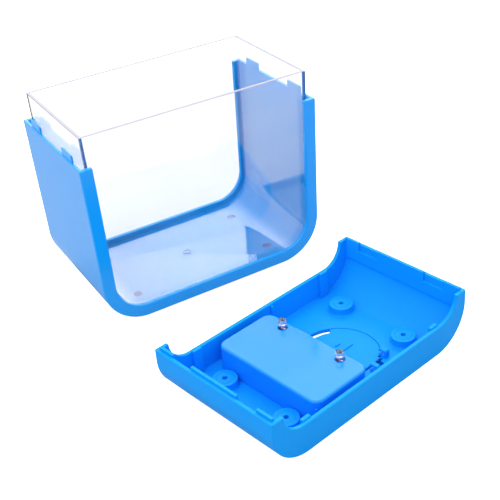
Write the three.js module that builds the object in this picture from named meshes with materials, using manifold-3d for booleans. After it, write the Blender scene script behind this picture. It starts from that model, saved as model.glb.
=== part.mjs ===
// A small desktop aquarium: a clear tank in a U-shaped cradle on rubber feet, with its lid lying
// upside down on the table in front of it. The lid carries a feeding door, two lamps and a battery box.
// Millimetres, +Z up. The origin is the middle of the whole layout's footprint, on the table.
import * as THREE from "three";
import { mergeVertices } from "three/addons/utils/BufferGeometryUtils.js";
import Module from "manifold-3d";

// Driving dimensions
const WIDTH = 150; // cradle and lid, along X
const DEPTH = 88.7; // cradle and lid, along Y
const GAP = 0.3; // between pieces that touch
const ARC_STEPS = 8; // on a quarter turn
const ROUND_STEPS = 20; // on a full circle
const STUB_STEPS = 12; // on a small circle
const OVER = 1; // how far a cutting tool runs past the face it opens
const OPEN = 20; // how far a trough-shaped tool runs past the top it opens
const SINK = 0.5; // how far a joined feature is sunk into its neighbour

const CRADLE = { height: 106, skin: 2.3, lip: 3, lipWidth: 8, radius: 27 };
const TAB = { from: 17, to: 31.5, thickness: 1.3, rise: 4.6, root: 6 };
const FOOT = { x: 47, y: 23.4, stem: 2.5, pad: 5.6, thickness: 1.1, chamfer: 0.4 };
const TANK = { width: 141, depth: 82.1, top: 123.6, wall: 2, radius: 22.5, edge: 2 };
const SPLAY = 0.0237; // how far the upright ends of cradle and tank lean out, per millimetre of height
const LID = {
  height: 32,
  skirt: 18.6,
  skin: 2.3,
  wall: 2.5,
  lipWidth: 8.2,
  radius: 24,
  windowRadius: 13.4,
};
const TONGUE = { from: 20, ledge: 27.6, rise: 1.5, thickness: 1.5 };
const RIB = { x: 50, width: 6, depth: 1.9, top: 19.5 };
const BOSS = { x: 46.5, y: 23.5, radius: 7.2, top: 7, hole: 1.4 };
const BOX = { left: -39, right: 2, halfLength: 38, top: 18, wall: 1.6, roof: 1.7, corner: 6 };
const SCREW_POST = { radius: 2.75, hole: 1.3, depth: 12 };
const LAMP = { x: -3.5, y: 21.5, radius: 2.5, flange: 2.9, length: 8.7, pitch: 1.27, lead: 0.3, leadLength: 2.8 };
const BOARD = { width: 6.8, length: 56, thickness: 1.2, stakeY: 10, stake: 0.8, stakeLength: 2.9 };
const CELL = { radius: 5.25, body: 43.5, nub: 1, nubRadius: 1.9, pitch: 10.7, firstX: -31.85 };
const BAY = { near: -35, far: 15.6, partition: 1.3 };
const CONTACT = { thickness: 0.5, halfWidth: 3.8, low: 3.6, high: 13.5, spring: 3.9 };
const HATCH = { x: 14, y: -4, radius: 24, seam: 0.4, left: 4.3, axisY: -24, axisZ: 1.25, edge: 1.05 };
const HINGE = { right: 26.9, room: 1.65, notch: 2.1, stub: 0.7, slot: 1.05, slotLength: 4.1 };
const NAIL_GAP = { from: 0.306 * Math.PI, to: 0.44 * Math.PI, depth: 0.6 };
const SLIT = { from: 17.3, to: 24.5, depth: 2.3 };
const CLIP = { top: 7.2, halfDepth: 2.6, bore: 1.5, boreZ: 4.6, mouth: 0.9, shift: 5.5 };
const DOOR = { left: -36.4, right: -5.6, near: -34.4, far: 23.4, seam: 0.4, screwX: -21, screwY: 19.4 };
const COVER_SCREW = { xs: [-33, -4.5], y: 31.5 };
const SINKHEAD = { head: 2.9, shank: 1.4, depth: 1.5 };
const SCREW = { length: 9, head: 2.3, shank: 1, lift: 0.2 };
const SWITCH = { x: -20, y: 29.2, length: 12, width: 6, height: 5, travel: 4, terminal: 3 };
const KNOB = { halfLength: 1.5, halfWidth: 1.2, foot: 2.5, footWidth: 1.5, inset: 0.3 };
const WIRE = { radius: 0.55, sides: 8, height: 14.9 };
const LID_PLACE = { x: 5.5, y: -143.2, turn: 12.3 }; // from the cradle's middle, degrees about +Z

const wasm = await Module();
wasm.setup();

const finish = (color, roughness, metalness = 0) =>
  new THREE.MeshStandardMaterial({ color, roughness, metalness });
const BLUE = finish(0x1c93ee, 0.3);
const BLUE_GLOSS = finish(0x2fa2f5, 0.15);
const CLEAR = finish(0xe8eef8, 0.05);
CLEAR.transparent = true;
CLEAR.opacity = 0.25;
const RUBBER = finish(0x3a3f52, 0.8);
const LENS = finish(0xf2f6fa, 0.08);
const STEEL = finish(0xb9bec4, 0.3, 1);
const BOARD_GREEN = finish(0x1d6b3c, 0.5);
const CERAMIC = finish(0xcdb68c, 0.6);
const CELL_SKIN = finish(0x23272e, 0.35);
const BLACK = finish(0x17181a, 0.5);
const RED_WIRE = finish(0xc0282a, 0.5);
const BLACK_WIRE = finish(0x202022, 0.5);

// Solids

// A closed geometry as a solid that can be joined and cut.
function solid(geometry) {
  geometry.deleteAttribute("normal");
  geometry.deleteAttribute("uv");
  const merged = mergeVertices(geometry, 1e-4);
  return new wasm.Manifold(
    new wasm.Mesh({
      numProp: 3,
      vertProperties: merged.attributes.position.array,
      triVerts: new Uint32Array(merged.index.array),
    }),
  );
}

// A solid as a geometry for a mesh.
function shell(body) {
  const { vertProperties, triVerts } = body.getMesh();
  const geometry = new THREE.BufferGeometry();
  geometry.setAttribute("position", new THREE.BufferAttribute(vertProperties, 3));
  geometry.setIndex(new THREE.BufferAttribute(triVerts, 1));
  return geometry;
}

const join = (...bodies) => bodies.reduce((whole, piece) => whole.add(piece));
const cut = (body, ...tools) => tools.reduce((left, tool) => left.subtract(tool), body);

// A box between two opposite corners.
function block(x0, x1, y0, y1, z0, z1) {
  const box = new THREE.BoxGeometry(x1 - x0, y1 - y0, z1 - z0);
  return solid(box.translate((x0 + x1) / 2, (y0 + y1) / 2, (z0 + z1) / 2));
}

// A round bar that stands upright.
function post(radius, x, y, z0, z1, sides = ROUND_STEPS) {
  const bar = new THREE.CylinderGeometry(radius, radius, z1 - z0, sides);
  return solid(bar.rotateX(Math.PI / 2).translate(x, y, (z0 + z1) / 2));
}

// A round bar along X.
function barX(radius, x0, x1, y, z, sides = ROUND_STEPS) {
  const bar = new THREE.CylinderGeometry(radius, radius, x1 - x0, sides);
  return solid(bar.rotateZ(Math.PI / 2).translate((x0 + x1) / 2, y, z));
}

// A cone frustum or countersink that stands upright, with its own radius at each end.
function taper(lowRadius, highRadius, x, y, z0, z1) {
  const cone = new THREE.CylinderGeometry(highRadius, lowRadius, z1 - z0, ROUND_STEPS);
  return solid(cone.rotateX(Math.PI / 2).translate(x, y, (z0 + z1) / 2));
}

// An outline in the XY plane, raised from z0 to z1.
function plate(outline, z0, z1) {
  const raised = new THREE.ExtrudeGeometry(outline, {
    depth: z1 - z0,
    bevelEnabled: false,
    curveSegments: ARC_STEPS,
  });
  return solid(raised.translate(0, 0, z0));
}

// A rectangle with round corners, raised from z0 to z1.
function pad(x0, x1, y0, y1, radius, z0, z1) {
  const outline = new THREE.Shape();
  outline.moveTo(x0, y0 + radius);
  outline.absarc(x0 + radius, y0 + radius, radius, Math.PI, 1.5 * Math.PI);
  outline.absarc(x1 - radius, y0 + radius, radius, 1.5 * Math.PI, 2 * Math.PI);
  outline.absarc(x1 - radius, y1 - radius, radius, 0, 0.5 * Math.PI);
  outline.absarc(x0 + radius, y1 - radius, radius, 0.5 * Math.PI, Math.PI);
  outline.closePath();
  return plate(outline, z0, z1);
}

// A U outline with round lower corners, seen along Y, filled up to its top and as deep as asked.
function trough(half, floor, top, radius, depth) {
  const outline = new THREE.Shape();
  outline.moveTo(-half, top);
  outline.lineTo(-half, floor + radius);
  outline.absarc(-half + radius, floor + radius, radius, Math.PI, 1.5 * Math.PI);
  outline.lineTo(half - radius, floor);
  outline.absarc(half - radius, floor + radius, radius, 1.5 * Math.PI, 2 * Math.PI);
  outline.lineTo(half, top);
  outline.closePath();
  const raised = new THREE.ExtrudeGeometry(outline, {
    depth,
    bevelEnabled: false,
    curveSegments: ARC_STEPS,
  });
  return solid(raised.rotateX(Math.PI / 2).translate(0, depth / 2, 0));
}

// A turned piece about +Z from [radius, height] pairs that start and end on the axis.
function turned(profile, sides = ROUND_STEPS) {
  const points = profile.map(([radius, height]) => new THREE.Vector2(radius, height));
  return new THREE.LatheGeometry(points, sides).rotateX(Math.PI / 2);
}

// Leans the upright ends outwards from a height up, as a moulding's draft does.
function splayed(body, from) {
  return body.warp((corner) => {
    corner[0] += Math.sign(corner[0]) * SPLAY * Math.max(corner[2] - from, 0);
  });
}

function mesh(name, geometry, material, x = 0, y = 0, z = 0) {
  const piece = new THREE.Mesh(geometry, material);
  piece.name = name;
  piece.position.set(x, y, z);
  return piece;
}

// Cradle, feet and tank. Z is 0 on the cradle's underside here.

// The channel takes the tank from above; its lips lie over the tank's front and back edges.
function cradle() {
  const { height, skin, lip, lipWidth, radius } = CRADLE;
  const above = height + OPEN;
  let body = cut(
    trough(WIDTH / 2, 0, height, radius, DEPTH),
    trough(WIDTH / 2 - skin, skin, above, radius - skin, DEPTH - 2 * lip),
    trough(WIDTH / 2 - lipWidth, lipWidth, above, radius - lipWidth, DEPTH + 2 * OVER),
  );
  const inner = WIDTH / 2 - skin;
  for (const side of [-1, 1])
    for (const end of [-1, 1]) {
      const xs = [side * inner, side * (inner + TAB.thickness)].sort((a, b) => a - b);
      const ys = [end * TAB.from, end * TAB.to].sort((a, b) => a - b);
      body = join(body, block(...xs, ...ys, height - TAB.root, height + TAB.rise));
      body = cut(body, post(FOOT.stem + GAP, side * FOOT.x, end * FOOT.y, -OVER, skin + OVER));
    }
  return splayed(body, radius);
}

// A push-in foot: a flat pad under the floor and a stem up through it.
const stemTop = CRADLE.skin - 0.1;
const footProfile = [
  [0, -FOOT.thickness],
  [FOOT.pad - FOOT.chamfer, -FOOT.thickness],
  [FOOT.pad, FOOT.chamfer - FOOT.thickness],
  [FOOT.pad, -GAP / 2],
  [FOOT.stem, -GAP / 2],
  [FOOT.stem, stemTop],
  [0, stemTop],
];

// The tank's floor bends up into its ends, as the cradle's does.
function tank() {
  const { width, depth, top, wall, radius, edge } = TANK;
  const floor = CRADLE.skin + GAP;
  const half = width / 2;
  const outer = trough(half, floor, top, radius, depth);
  const inner = trough(half - wall, floor + wall, top + OPEN, radius - wall, depth - 2 * wall);
  const plan = pad(-half, half, -depth / 2, depth / 2, edge, 0, top + OVER);
  return splayed(cut(outer.intersect(plan), inner), floor + radius);
}

const base = new THREE.Group();
base.position.z = FOOT.thickness;
base.add(mesh("cradle", shell(cradle()), BLUE));
base.add(mesh("clear_tank", shell(tank()), CLEAR));
const footGeometry = turned(footProfile);
for (const [end, y] of [["front", -FOOT.y], ["back", FOOT.y]])
  for (const [side, x] of [["left", -FOOT.x], ["right", FOOT.x]])
    base.add(mesh(`foot_${end}_${side}`, footGeometry, RUBBER, x, y));

// Lid, lying on its outer face. Z is 0 on the outer face here, and +Z is the way into the tank.

const hatchLeft = HATCH.left + HATCH.seam;
const hingeRight = HINGE.right - HATCH.seam;

// The door's outline: a disc cut straight beside the battery box and along its hinge,
// with a notch beside the hinge and a fingernail gap in the far part of the arc.
function hatchOutline() {
  const { x, y, axisY } = HATCH;
  const r = HATCH.radius - HATCH.seam;
  const notchY = axisY + HINGE.notch;
  const start = Math.asin((notchY - y) / r);
  const end = Math.acos((hatchLeft - x) / r);
  const outline = new THREE.Shape();
  outline.moveTo(hatchLeft, axisY);
  outline.lineTo(hingeRight, axisY);
  outline.lineTo(hingeRight, notchY);
  outline.absarc(x, y, r, start, NAIL_GAP.from);
  outline.absarc(x, y, r - NAIL_GAP.depth, NAIL_GAP.from, NAIL_GAP.to);
  outline.absarc(x, y, r, NAIL_GAP.to, end);
  outline.closePath();
  return outline;
}

// The door turns about its rounded near edge, on a stub at each end.
function feedDoor() {
  const { axisY, axisZ, edge } = HATCH;
  const stubLeft = HATCH.left - HINGE.slot;
  const stubRight = HINGE.right + HINGE.slotLength - HATCH.seam;
  return join(
    plate(hatchOutline(), 0, LID.skin),
    barX(edge, hatchLeft, hingeRight, axisY, axisZ),
    barX(HINGE.stub, stubLeft, hatchLeft + SINK, axisY, axisZ, STUB_STEPS),
    barX(HINGE.stub, hingeRight - SINK, stubRight, axisY, axisZ, STUB_STEPS),
  );
}

// What the lid's skin loses for the feeding door, its stubs and the light slit behind its hinge.
function hatchOpening() {
  const { x, y, radius, left, axisY, axisZ } = HATCH;
  const { right, room, slot, slotLength } = HINGE;
  const heights = [-OVER, LID.skin + OVER];
  const slotEnd = right + slotLength;
  const disc = post(radius, x, y, ...heights, 4 * ARC_STEPS);
  const kept = block(left, x + radius + OVER, axisY - room, y + radius + OVER, ...heights);
  return join(
    disc.intersect(kept),
    block(left, right, axisY - room, axisY + HINGE.notch, ...heights),
    block(SLIT.from, SLIT.to, axisY - SLIT.depth, axisY, ...heights),
    barX(slot, left - 1.5 * slot, slotEnd, axisY, axisZ, STUB_STEPS),
    block(right - OVER, slotEnd, axisY - HINGE.stub - 0.1, axisY + HINGE.stub + 0.1, axisZ, LID.skin + OVER),
  );
}

// A C-shaped clip that stands over a door stub.
function hingeClip(x0, x1, y) {
  const { top, halfDepth, bore, boreZ, mouth } = CLIP;
  return cut(
    block(x0, x1, y - halfDepth, y + halfDepth, LID.skin - SINK / 2, top),
    barX(bore, x0 - OVER, x1 + OVER, y, boreZ, STUB_STEPS),
    block(x0 - OVER, x1 + OVER, y, y + halfDepth + OVER, boreZ - mouth, boreZ + mouth),
  );
}

// A screw hole through the skin with a countersink in the outer face.
function sunkHole(x, y) {
  const { head, shank, depth } = SINKHEAD;
  return join(post(shank, x, y, -OVER, LID.skin + OVER, STUB_STEPS), taper(head, shank, x, y, -0.01, depth));
}

function lidShell() {
  const { height, skirt, skin, wall, lipWidth, radius, windowRadius } = LID;
  const above = height + OPEN;
  let body = cut(
    trough(WIDTH / 2, 0, height, radius, DEPTH),
    trough(WIDTH / 2 - skin, skin, above, radius - skin, DEPTH - 2 * wall),
    trough(WIDTH / 2 - lipWidth, skirt, above, windowRadius, DEPTH + 2 * OVER),
  );
  const inner = WIDTH / 2 - skin;
  const innerDepth = DEPTH / 2 - wall;
  const rim = innerDepth + SINK;
  // A band inside each end wall, with tongues over it and gaps between them for the cradle's tabs.
  const tongues = [
    [-rim, -TAB.to],
    [-TAB.from, TAB.from],
    [TAB.to, rim],
  ];
  for (const side of [-1, 1]) {
    const xs = [side * (inner + SINK / 2), side * (inner - TONGUE.thickness)].sort((a, b) => a - b);
    body = join(body, block(...xs, -rim, rim, TONGUE.from, TONGUE.ledge));
    for (const [y0, y1] of tongues)
      body = join(body, block(...xs, y0, y1, TONGUE.from, height + TONGUE.rise));
    for (const end of [-1, 1]) {
      // Snap ribs on the long skirts, and the blind bosses on the floor.
      const ys = [end * rim, end * (innerDepth - RIB.depth)].sort((a, b) => a - b);
      const ribX = side * RIB.x;
      const [bossX, bossY] = [side * BOSS.x, end * BOSS.y];
      body = join(
        body,
        block(ribX - RIB.width / 2, ribX + RIB.width / 2, ...ys, skin - SINK, RIB.top),
        post(BOSS.radius, bossX, bossY, skin - SINK, BOSS.top),
      );
      body = cut(body, post(BOSS.hole, bossX, bossY, skin, BOSS.top + OVER, STUB_STEPS));
    }
  }
  // Room beside the battery box, then the openings through the skin.
  body = cut(body, block(BOX.left - GAP, 0, -BOX.halfLength, BOX.halfLength, skin, BOSS.top + OVER));
  const [firstClip, secondClip] = [hingeRight + 1.1, 14.2];
  body = join(
    body,
    hingeClip(firstClip, firstClip + 3.2, HATCH.axisY),
    hingeClip(secondClip, secondClip + 2.8, HATCH.axisY - CLIP.shift),
  );
  body = cut(body, hatchOpening());
  const { left, right, near, far, seam } = DOOR;
  const through = [-OVER, skin + OVER];
  body = cut(body, block(left - seam, right + seam, near - seam, far + seam, ...through));
  for (const x of COVER_SCREW.xs) body = cut(body, sunkHole(x, COVER_SCREW.y));
  // The switch's slot in the middle of its finger recess.
  const slotHalf = SWITCH.travel / 2 + KNOB.halfLength + 0.4;
  const slotWidth = KNOB.halfWidth + 0.4;
  const { x: switchX, y: switchY } = SWITCH;
  return cut(
    body,
    block(switchX - slotHalf, switchX + slotHalf, switchY - slotWidth, switchY + slotWidth, ...through),
    pad(switchX - 8, switchX + 8, switchY - 3.4, switchY + 3.4, 3.3, -OVER, 1),
  );
}

// The cover over the cells and lamps, open towards the lid's skin.
function boxCover() {
  const { left, right, halfLength, top, wall, roof, corner } = BOX;
  const floor = LID.skin + GAP;
  const under = top - roof;
  let body = cut(
    pad(left, right, -halfLength, halfLength, corner, floor, top),
    pad(
      left + wall,
      right - wall,
      wall - halfLength,
      halfLength - wall,
      corner - wall,
      floor - OVER,
      under,
    ),
  );
  // Ribs that hold the two ends of the battery bay.
  body = join(
    body,
    block(left + 1, DOOR.right, BAY.far, BAY.far + BAY.partition, floor + GAP, CONTACT.high),
    block(left + 1, DOOR.right, wall - halfLength - SINK / 2, BAY.near, floor + GAP, CONTACT.high),
  );
  const { radius: postRadius, hole, depth } = SCREW_POST;
  const screws = [[DOOR.screwX, DOOR.screwY, floor + GAP]];
  for (const x of COVER_SCREW.xs) screws.push([x, COVER_SCREW.y, floor]);
  for (const [x, y, foot] of screws) {
    body = join(body, post(postRadius, x, y, foot, under + SINK));
    body = cut(body, post(hole, x, y, floor - OVER, depth, STUB_STEPS));
  }
  for (const end of [-1, 1]) {
    body = cut(body, post(LAMP.radius + GAP, LAMP.x, end * LAMP.y, under - OVER, top + OVER));
    const stakeFoot = under - BOARD.stakeLength;
    body = join(body, post(BOARD.stake, LAMP.x, end * BOARD.stakeY, stakeFoot, under + SINK, STUB_STEPS));
  }
  return body;
}

// A round lamp with a domed lens, a flange under the roof and two leads through the board.
function lamp() {
  const { radius, flange, length, pitch, lead, leadLength } = LAMP;
  const dome = [];
  for (let step = 1; step <= ARC_STEPS; step += 1) {
    const angle = (step / ARC_STEPS) * (Math.PI / 2);
    dome.push([radius * Math.cos(angle), length - radius + radius * Math.sin(angle)]);
  }
  dome[dome.length - 1][0] = 0;
  const profile = [[0, 0], [flange, 0], [flange, 0.7], [radius, 0.7], [radius, length - radius], ...dome];
  return join(
    solid(turned(profile)),
    post(lead, 0, -pitch, -leadLength, SINK / 2, 8),
    post(lead, 0, pitch, -leadLength, SINK / 2, 8),
  );
}

// The lamps' board hangs under the cover's roof on two stakes.
function board() {
  const half = BOARD.width / 2;
  let body = block(-half, half, -BOARD.length / 2, BOARD.length / 2, 0, BOARD.thickness);
  for (const end of [-1, 1]) {
    body = cut(body, post(BOARD.stake + GAP, 0, end * BOARD.stakeY, -OVER, BOARD.thickness + OVER, STUB_STEPS));
    for (const lead of [-1, 1]) {
      const leadY = end * LAMP.y + lead * LAMP.pitch;
      body = cut(body, post(LAMP.lead + GAP, 0, leadY, -OVER, BOARD.thickness + OVER, 8));
    }
  }
  return body;
}

// A contact strip against an end of the bay: a plate behind one or two cells, with a sprung cone
// at the cells whose flat end faces it.
function contact(firstX, lastX, springXs, facing) {
  const { thickness, halfWidth, low, high, spring } = CONTACT;
  const ys = [0, facing * thickness].sort((a, b) => a - b);
  let body = block(firstX - halfWidth, lastX + halfWidth, ...ys, low, high);
  for (const x of springXs) {
    const cone = new THREE.CylinderGeometry(2.2, 3.6, spring + 0.2, ROUND_STEPS);
    if (facing < 0) cone.rotateX(Math.PI);
    cone.translate(0, facing * (thickness + spring / 2 - 0.1), 0);
    body = join(body, solid(cone.translate(x, 0, CELL_HEIGHT)));
  }
  return body;
}

// A screw with its countersunk head down: a cross recess, a cone and a shank.
function screw() {
  const { length, head, shank } = SCREW;
  const [arm, half, depth] = [1.3, 0.3, 0.7];
  return cut(
    join(taper(head, shank, 0, 0, 0, 1.2), post(shank, 0, 0, 1.1, length, STUB_STEPS)),
    block(-arm, arm, -half, half, -OVER, depth),
    block(-half, half, -arm, arm, -OVER, depth),
  );
}

function switchBody() {
  const { length, width, height, terminal } = SWITCH;
  let body = block(-length / 2, length / 2, -width / 2, width / 2, 0, height);
  body = cut(body, block(0.8 - length / 2, length / 2 - 0.8, -1.8, 1.8, -OVER, 2.2));
  for (const x of [-3.5, 0, 3.5])
    body = join(body, block(x - 0.6, x + 0.6, -0.25, 0.25, height - SINK, height + terminal));
  return body;
}

// A wire through hand-set points, as a tube with flat sides.
function wire(points) {
  const route = new THREE.CatmullRomCurve3(points.map((point) => new THREE.Vector3(...point)));
  const section = new THREE.Shape();
  for (let side = 0; side < WIRE.sides; side += 1) {
    const angle = (side / WIRE.sides) * 2 * Math.PI;
    const [a, b] = [WIRE.radius * Math.cos(angle), WIRE.radius * Math.sin(angle)];
    if (side === 0) section.moveTo(a, b);
    else section.lineTo(a, b);
  }
  section.closePath();
  const steps = Math.ceil(route.getLength() / (5 * WIRE.radius));
  return new THREE.ExtrudeGeometry(section, { steps, extrudePath: route, bevelEnabled: false });
}

const CELL_HEIGHT = LID.skin + 0.7 + CELL.radius;
const roofUnder = BOX.top - BOX.roof;
const boardTop = roofUnder - 1.3;
const cellXs = [0, 1, 2].map((index) => CELL.firstX + index * CELL.pitch);
const nearContactY = BAY.near + GAP;
const farContactY = BAY.far - GAP;

const lid = new THREE.Group();
lid.position.set(LID_PLACE.x, LID_PLACE.y, 0);
lid.rotation.z = THREE.MathUtils.degToRad(LID_PLACE.turn);
lid.add(mesh("lid_shell", shell(lidShell()), BLUE));
lid.add(mesh("light_box_cover", shell(boxCover()), BLUE_GLOSS));
lid.add(mesh("feed_door", shell(feedDoor()), BLUE));

const lampGeometry = shell(lamp());
lid.add(mesh("lamp_far", lampGeometry, LENS, LAMP.x, LAMP.y, boardTop + GAP));
lid.add(mesh("lamp_near", lampGeometry, LENS, LAMP.x, -LAMP.y, boardTop + GAP));
lid.add(mesh("lamp_board", shell(board()), BOARD_GREEN, LAMP.x, 0, boardTop - BOARD.thickness));

// The resistor lies along Y under the board, with its leads on both sides.
const resistorProfile = [[0, -6], [0.3, -6], [0.3, -3], [1, -3], [1, 3], [0.3, 3], [0.3, 6], [0, 6]];
const resistor = mesh("board_resistor", turned(resistorProfile, 12), CERAMIC);
resistor.rotation.x = Math.PI / 2;
resistor.position.set(LAMP.x + 1.3, 0, boardTop - BOARD.thickness - 1 - GAP);
lid.add(resistor);

// Cells lie along Y, each turned the other way from the one beside it.
const { radius: cellRadius, body: cellBody, nub, nubRadius } = CELL;
const cellProfile = [
  [0, 0],
  [cellRadius - 0.5, 0],
  [cellRadius, 0.5],
  [cellRadius, cellBody - 0.5],
  [cellRadius - 0.5, cellBody],
  [nubRadius, cellBody],
  [nubRadius, cellBody + nub],
  [0, cellBody + nub],
];
const cellGeometry = turned(cellProfile);
cellXs.forEach((x, index) => {
  const facesNear = index % 2 === 0;
  const cell = mesh(`battery_cell_${index + 1}`, cellGeometry, CELL_SKIN);
  const tip = CONTACT.thickness + GAP + cellBody + nub;
  cell.rotation.x = facesNear ? Math.PI / 2 : -Math.PI / 2;
  cell.position.set(x, facesNear ? nearContactY + tip : farContactY - tip, CELL_HEIGHT);
  lid.add(cell);
});

const [x1, x2, x3] = cellXs;
const contacts = [
  ["contact_positive", contact(x1, x1, [], 1), nearContactY],
  ["contact_bridge_near", contact(x2, x3, [x2], 1), nearContactY],
  ["contact_bridge_far", contact(x1, x2, [x1], -1), farContactY],
  ["contact_negative", contact(x3, x3, [x3], -1), farContactY],
];
for (const [name, body, y] of contacts) lid.add(mesh(name, shell(body), STEEL, 0, y));

const { left: doorLeft, right: doorRight, near: doorNear, far: doorFar } = DOOR;
const doorBody = cut(
  pad(doorLeft, doorRight, doorNear, doorFar, 1, 0, LID.skin),
  sunkHole(DOOR.screwX, DOOR.screwY),
);
lid.add(mesh("battery_door", shell(doorBody), BLUE));
const screwGeometry = shell(screw());
lid.add(mesh("battery_door_screw", screwGeometry, STEEL, DOOR.screwX, DOOR.screwY, SCREW.lift));
COVER_SCREW.xs.forEach((x, index) => {
  const side = index === 0 ? "left" : "right";
  lid.add(mesh(`cover_screw_${side}`, screwGeometry, STEEL, x, COVER_SCREW.y, SCREW.lift));
});

const switchFloor = LID.skin + GAP;
lid.add(mesh("switch_body", shell(switchBody()), BLACK, SWITCH.x, SWITCH.y, switchFloor));
const sliderRest = SWITCH.x - SWITCH.travel / 2;
const { halfLength: knobHalf, halfWidth: knobWidth, foot: knobFoot, footWidth, inset } = KNOB;
const slider = join(
  block(-knobFoot, knobFoot, -footWidth, footWidth, switchFloor + GAP, switchFloor + 1.9),
  block(-knobHalf, knobHalf, -knobWidth, knobWidth, inset, switchFloor + SINK),
);
lid.add(mesh("switch_slider", shell(slider), BLACK, sliderRest, SWITCH.y));

// Wires run between the cells and the cover's roof.
const terminal = switchFloor + SWITCH.height + SWITCH.terminal + GAP + WIRE.radius;
const high = WIRE.height;
const boardEdge = LAMP.x - BOARD.width / 2 - GAP - WIRE.radius;
const toSwitch = [
  [x1, nearContactY + 1, high],
  [x1 - 1, -25, high],
  [x1 - 1.5, -5, high],
  [x1, 14, high],
  [x1 + 2, 22, high - 0.6],
  [SWITCH.x - 4.5, SWITCH.y, terminal],
];
const toBoard = [
  [SWITCH.x + 0.5, SWITCH.y, terminal],
  [SWITCH.x + 5, SWITCH.y - 0.5, high - 0.6],
  [boardEdge - 2, SWITCH.y - 2, high],
  [boardEdge, SWITCH.y - 4, high],
];
const toCells = [
  [boardEdge, 4, high],
  [boardEdge - 0.6, 8, high],
  [x3, farContactY - 1.6, high],
];
lid.add(mesh("wire_cells_to_switch", wire(toSwitch), RED_WIRE));
lid.add(mesh("wire_switch_to_board", wire(toBoard), RED_WIRE));
lid.add(mesh("wire_board_to_cells", wire(toCells), BLACK_WIRE));

// The layout is shifted so that the origin is the middle of its footprint.
const layout = new THREE.Group();
layout.add(base, lid);
const extent = new THREE.Box3().setFromObject(layout, true);
const middle = extent.getCenter(new THREE.Vector3());
layout.position.set(-middle.x, -middle.y, -extent.min.z);

export default layout;
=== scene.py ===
"""A small desktop aquarium: a clear tank in a U-shaped blue cradle, with its lid upside down beside it.

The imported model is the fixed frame. Each sub-assembly is a class that holds its sizes in
millimetres, works its surfaces out with numpy, and places them on the frame's bodies.
"""

import logging
from collections.abc import Sequence
from dataclasses import dataclass
from enum import Enum
from math import cos, pi, radians, sin, sqrt, tau
from typing import Any

import bpy
import numpy as np
from mathutils import Matrix, Vector


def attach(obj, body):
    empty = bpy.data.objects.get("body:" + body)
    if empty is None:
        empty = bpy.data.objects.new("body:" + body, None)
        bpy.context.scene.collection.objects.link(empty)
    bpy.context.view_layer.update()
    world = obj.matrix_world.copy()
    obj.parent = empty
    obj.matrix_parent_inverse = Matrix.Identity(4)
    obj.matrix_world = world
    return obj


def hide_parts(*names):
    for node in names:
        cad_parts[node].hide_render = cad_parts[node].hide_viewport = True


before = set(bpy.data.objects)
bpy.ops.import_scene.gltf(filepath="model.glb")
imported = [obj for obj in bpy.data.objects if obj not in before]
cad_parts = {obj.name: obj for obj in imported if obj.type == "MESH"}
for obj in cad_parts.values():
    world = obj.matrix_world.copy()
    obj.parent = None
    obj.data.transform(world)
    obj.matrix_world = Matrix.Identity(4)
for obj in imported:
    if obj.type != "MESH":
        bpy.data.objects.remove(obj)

log = logging.getLogger("aquarium")
MM = 0.001
SMOOTH_ANGLE = radians(38)
QUARTER = pi / 2
WIDTH, DEPTH = 150.0, 88.7  # of cradle and lid alike
TAB_FROM, TAB_TO = 17.0, 31.5  # the stretch of each tab, from the middle outwards
LID_TURN = 12.3  # degrees about +Z
SPLAY = 0.0237  # how far the upright ends of cradle and tank lean out, per millimetre of height


# ---------------------------------------------------------------- places and shells


@dataclass(frozen=True)
class Place:
    """Where a sub-assembly's own frame lies: millimetres along the row axes, degrees about +Z."""

    x: float = 0.0
    y: float = 0.0
    z: float = 0.0
    turn: float = 0.0

    def metres(self, points: np.ndarray) -> np.ndarray:
        """Turns points about +Z, shifts them and scales them to metres.

        Args:
            points: (n, 3) positions in millimetres in the sub-assembly's frame.

        Returns:
            (n, 3) positions in metres in the row frame.
        """
        c, s = cos(radians(self.turn)), sin(radians(self.turn))
        turned = points @ np.array([[c, s, 0], [-s, c, 0], [0, 0, 1]])
        return (turned + np.array([self.x, self.y, self.z])) * MM


@dataclass
class Shell:
    """One closed surface: vertices and the faces between them, in millimetres."""

    points: np.ndarray
    faces: list[list[int]]
    along: np.ndarray | None = None

    def outward(self) -> "Shell":
        """Turns the faces outwards, judged by the volume's sign: the sum of a . (b x c) over all triangles.

        Returns:
            The same shell.
        """
        volume = 0.0
        for face in self.faces:
            corner = self.points[face]
            fan = np.cross(corner[1:-1], corner[2:])
            volume += float((fan @ corner[0]).sum())
        if volume < 0:
            self.faces = [face[::-1] for face in self.faces]
        return self

    def moved(self, x: float = 0, y: float = 0, z: float = 0) -> "Shell":
        """A copy shifted by x, y and z."""
        return Shell(self.points + np.array([x, y, z]), self.faces, self.along)

    def splayed(self, start: float) -> "Shell":
        """A copy whose upright ends lean out: x grows by SPLAY for each millimetre of z over start."""
        x, y, z = self.points.T
        lean = np.sign(x) * SPLAY * np.maximum(z - start, 0)
        return Shell(np.stack([x + lean, y, z], -1), self.faces, self.along)

    def stood(self, sign: float = 1, x: float = 0) -> "Shell":
        """A plate stood on edge: point (a, b, c) becomes (x + sign c, a, b)."""
        points = self.points[:, [2, 0, 1]] * np.array([sign, 1, 1]) + np.array([x, 0, 0])
        return Shell(points, self.faces).outward()

    def tipped(self, axis: str, degrees: float) -> "Shell":
        """A copy turned about an axis through the origin.

        Args:
            axis: X, Y or Z.
            degrees: angle, right-handed.

        Returns:
            The turned copy.
        """
        matrix = np.array(Matrix.Rotation(radians(degrees), 3, axis))
        return Shell(self.points @ matrix.T, self.faces, self.along)


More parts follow.
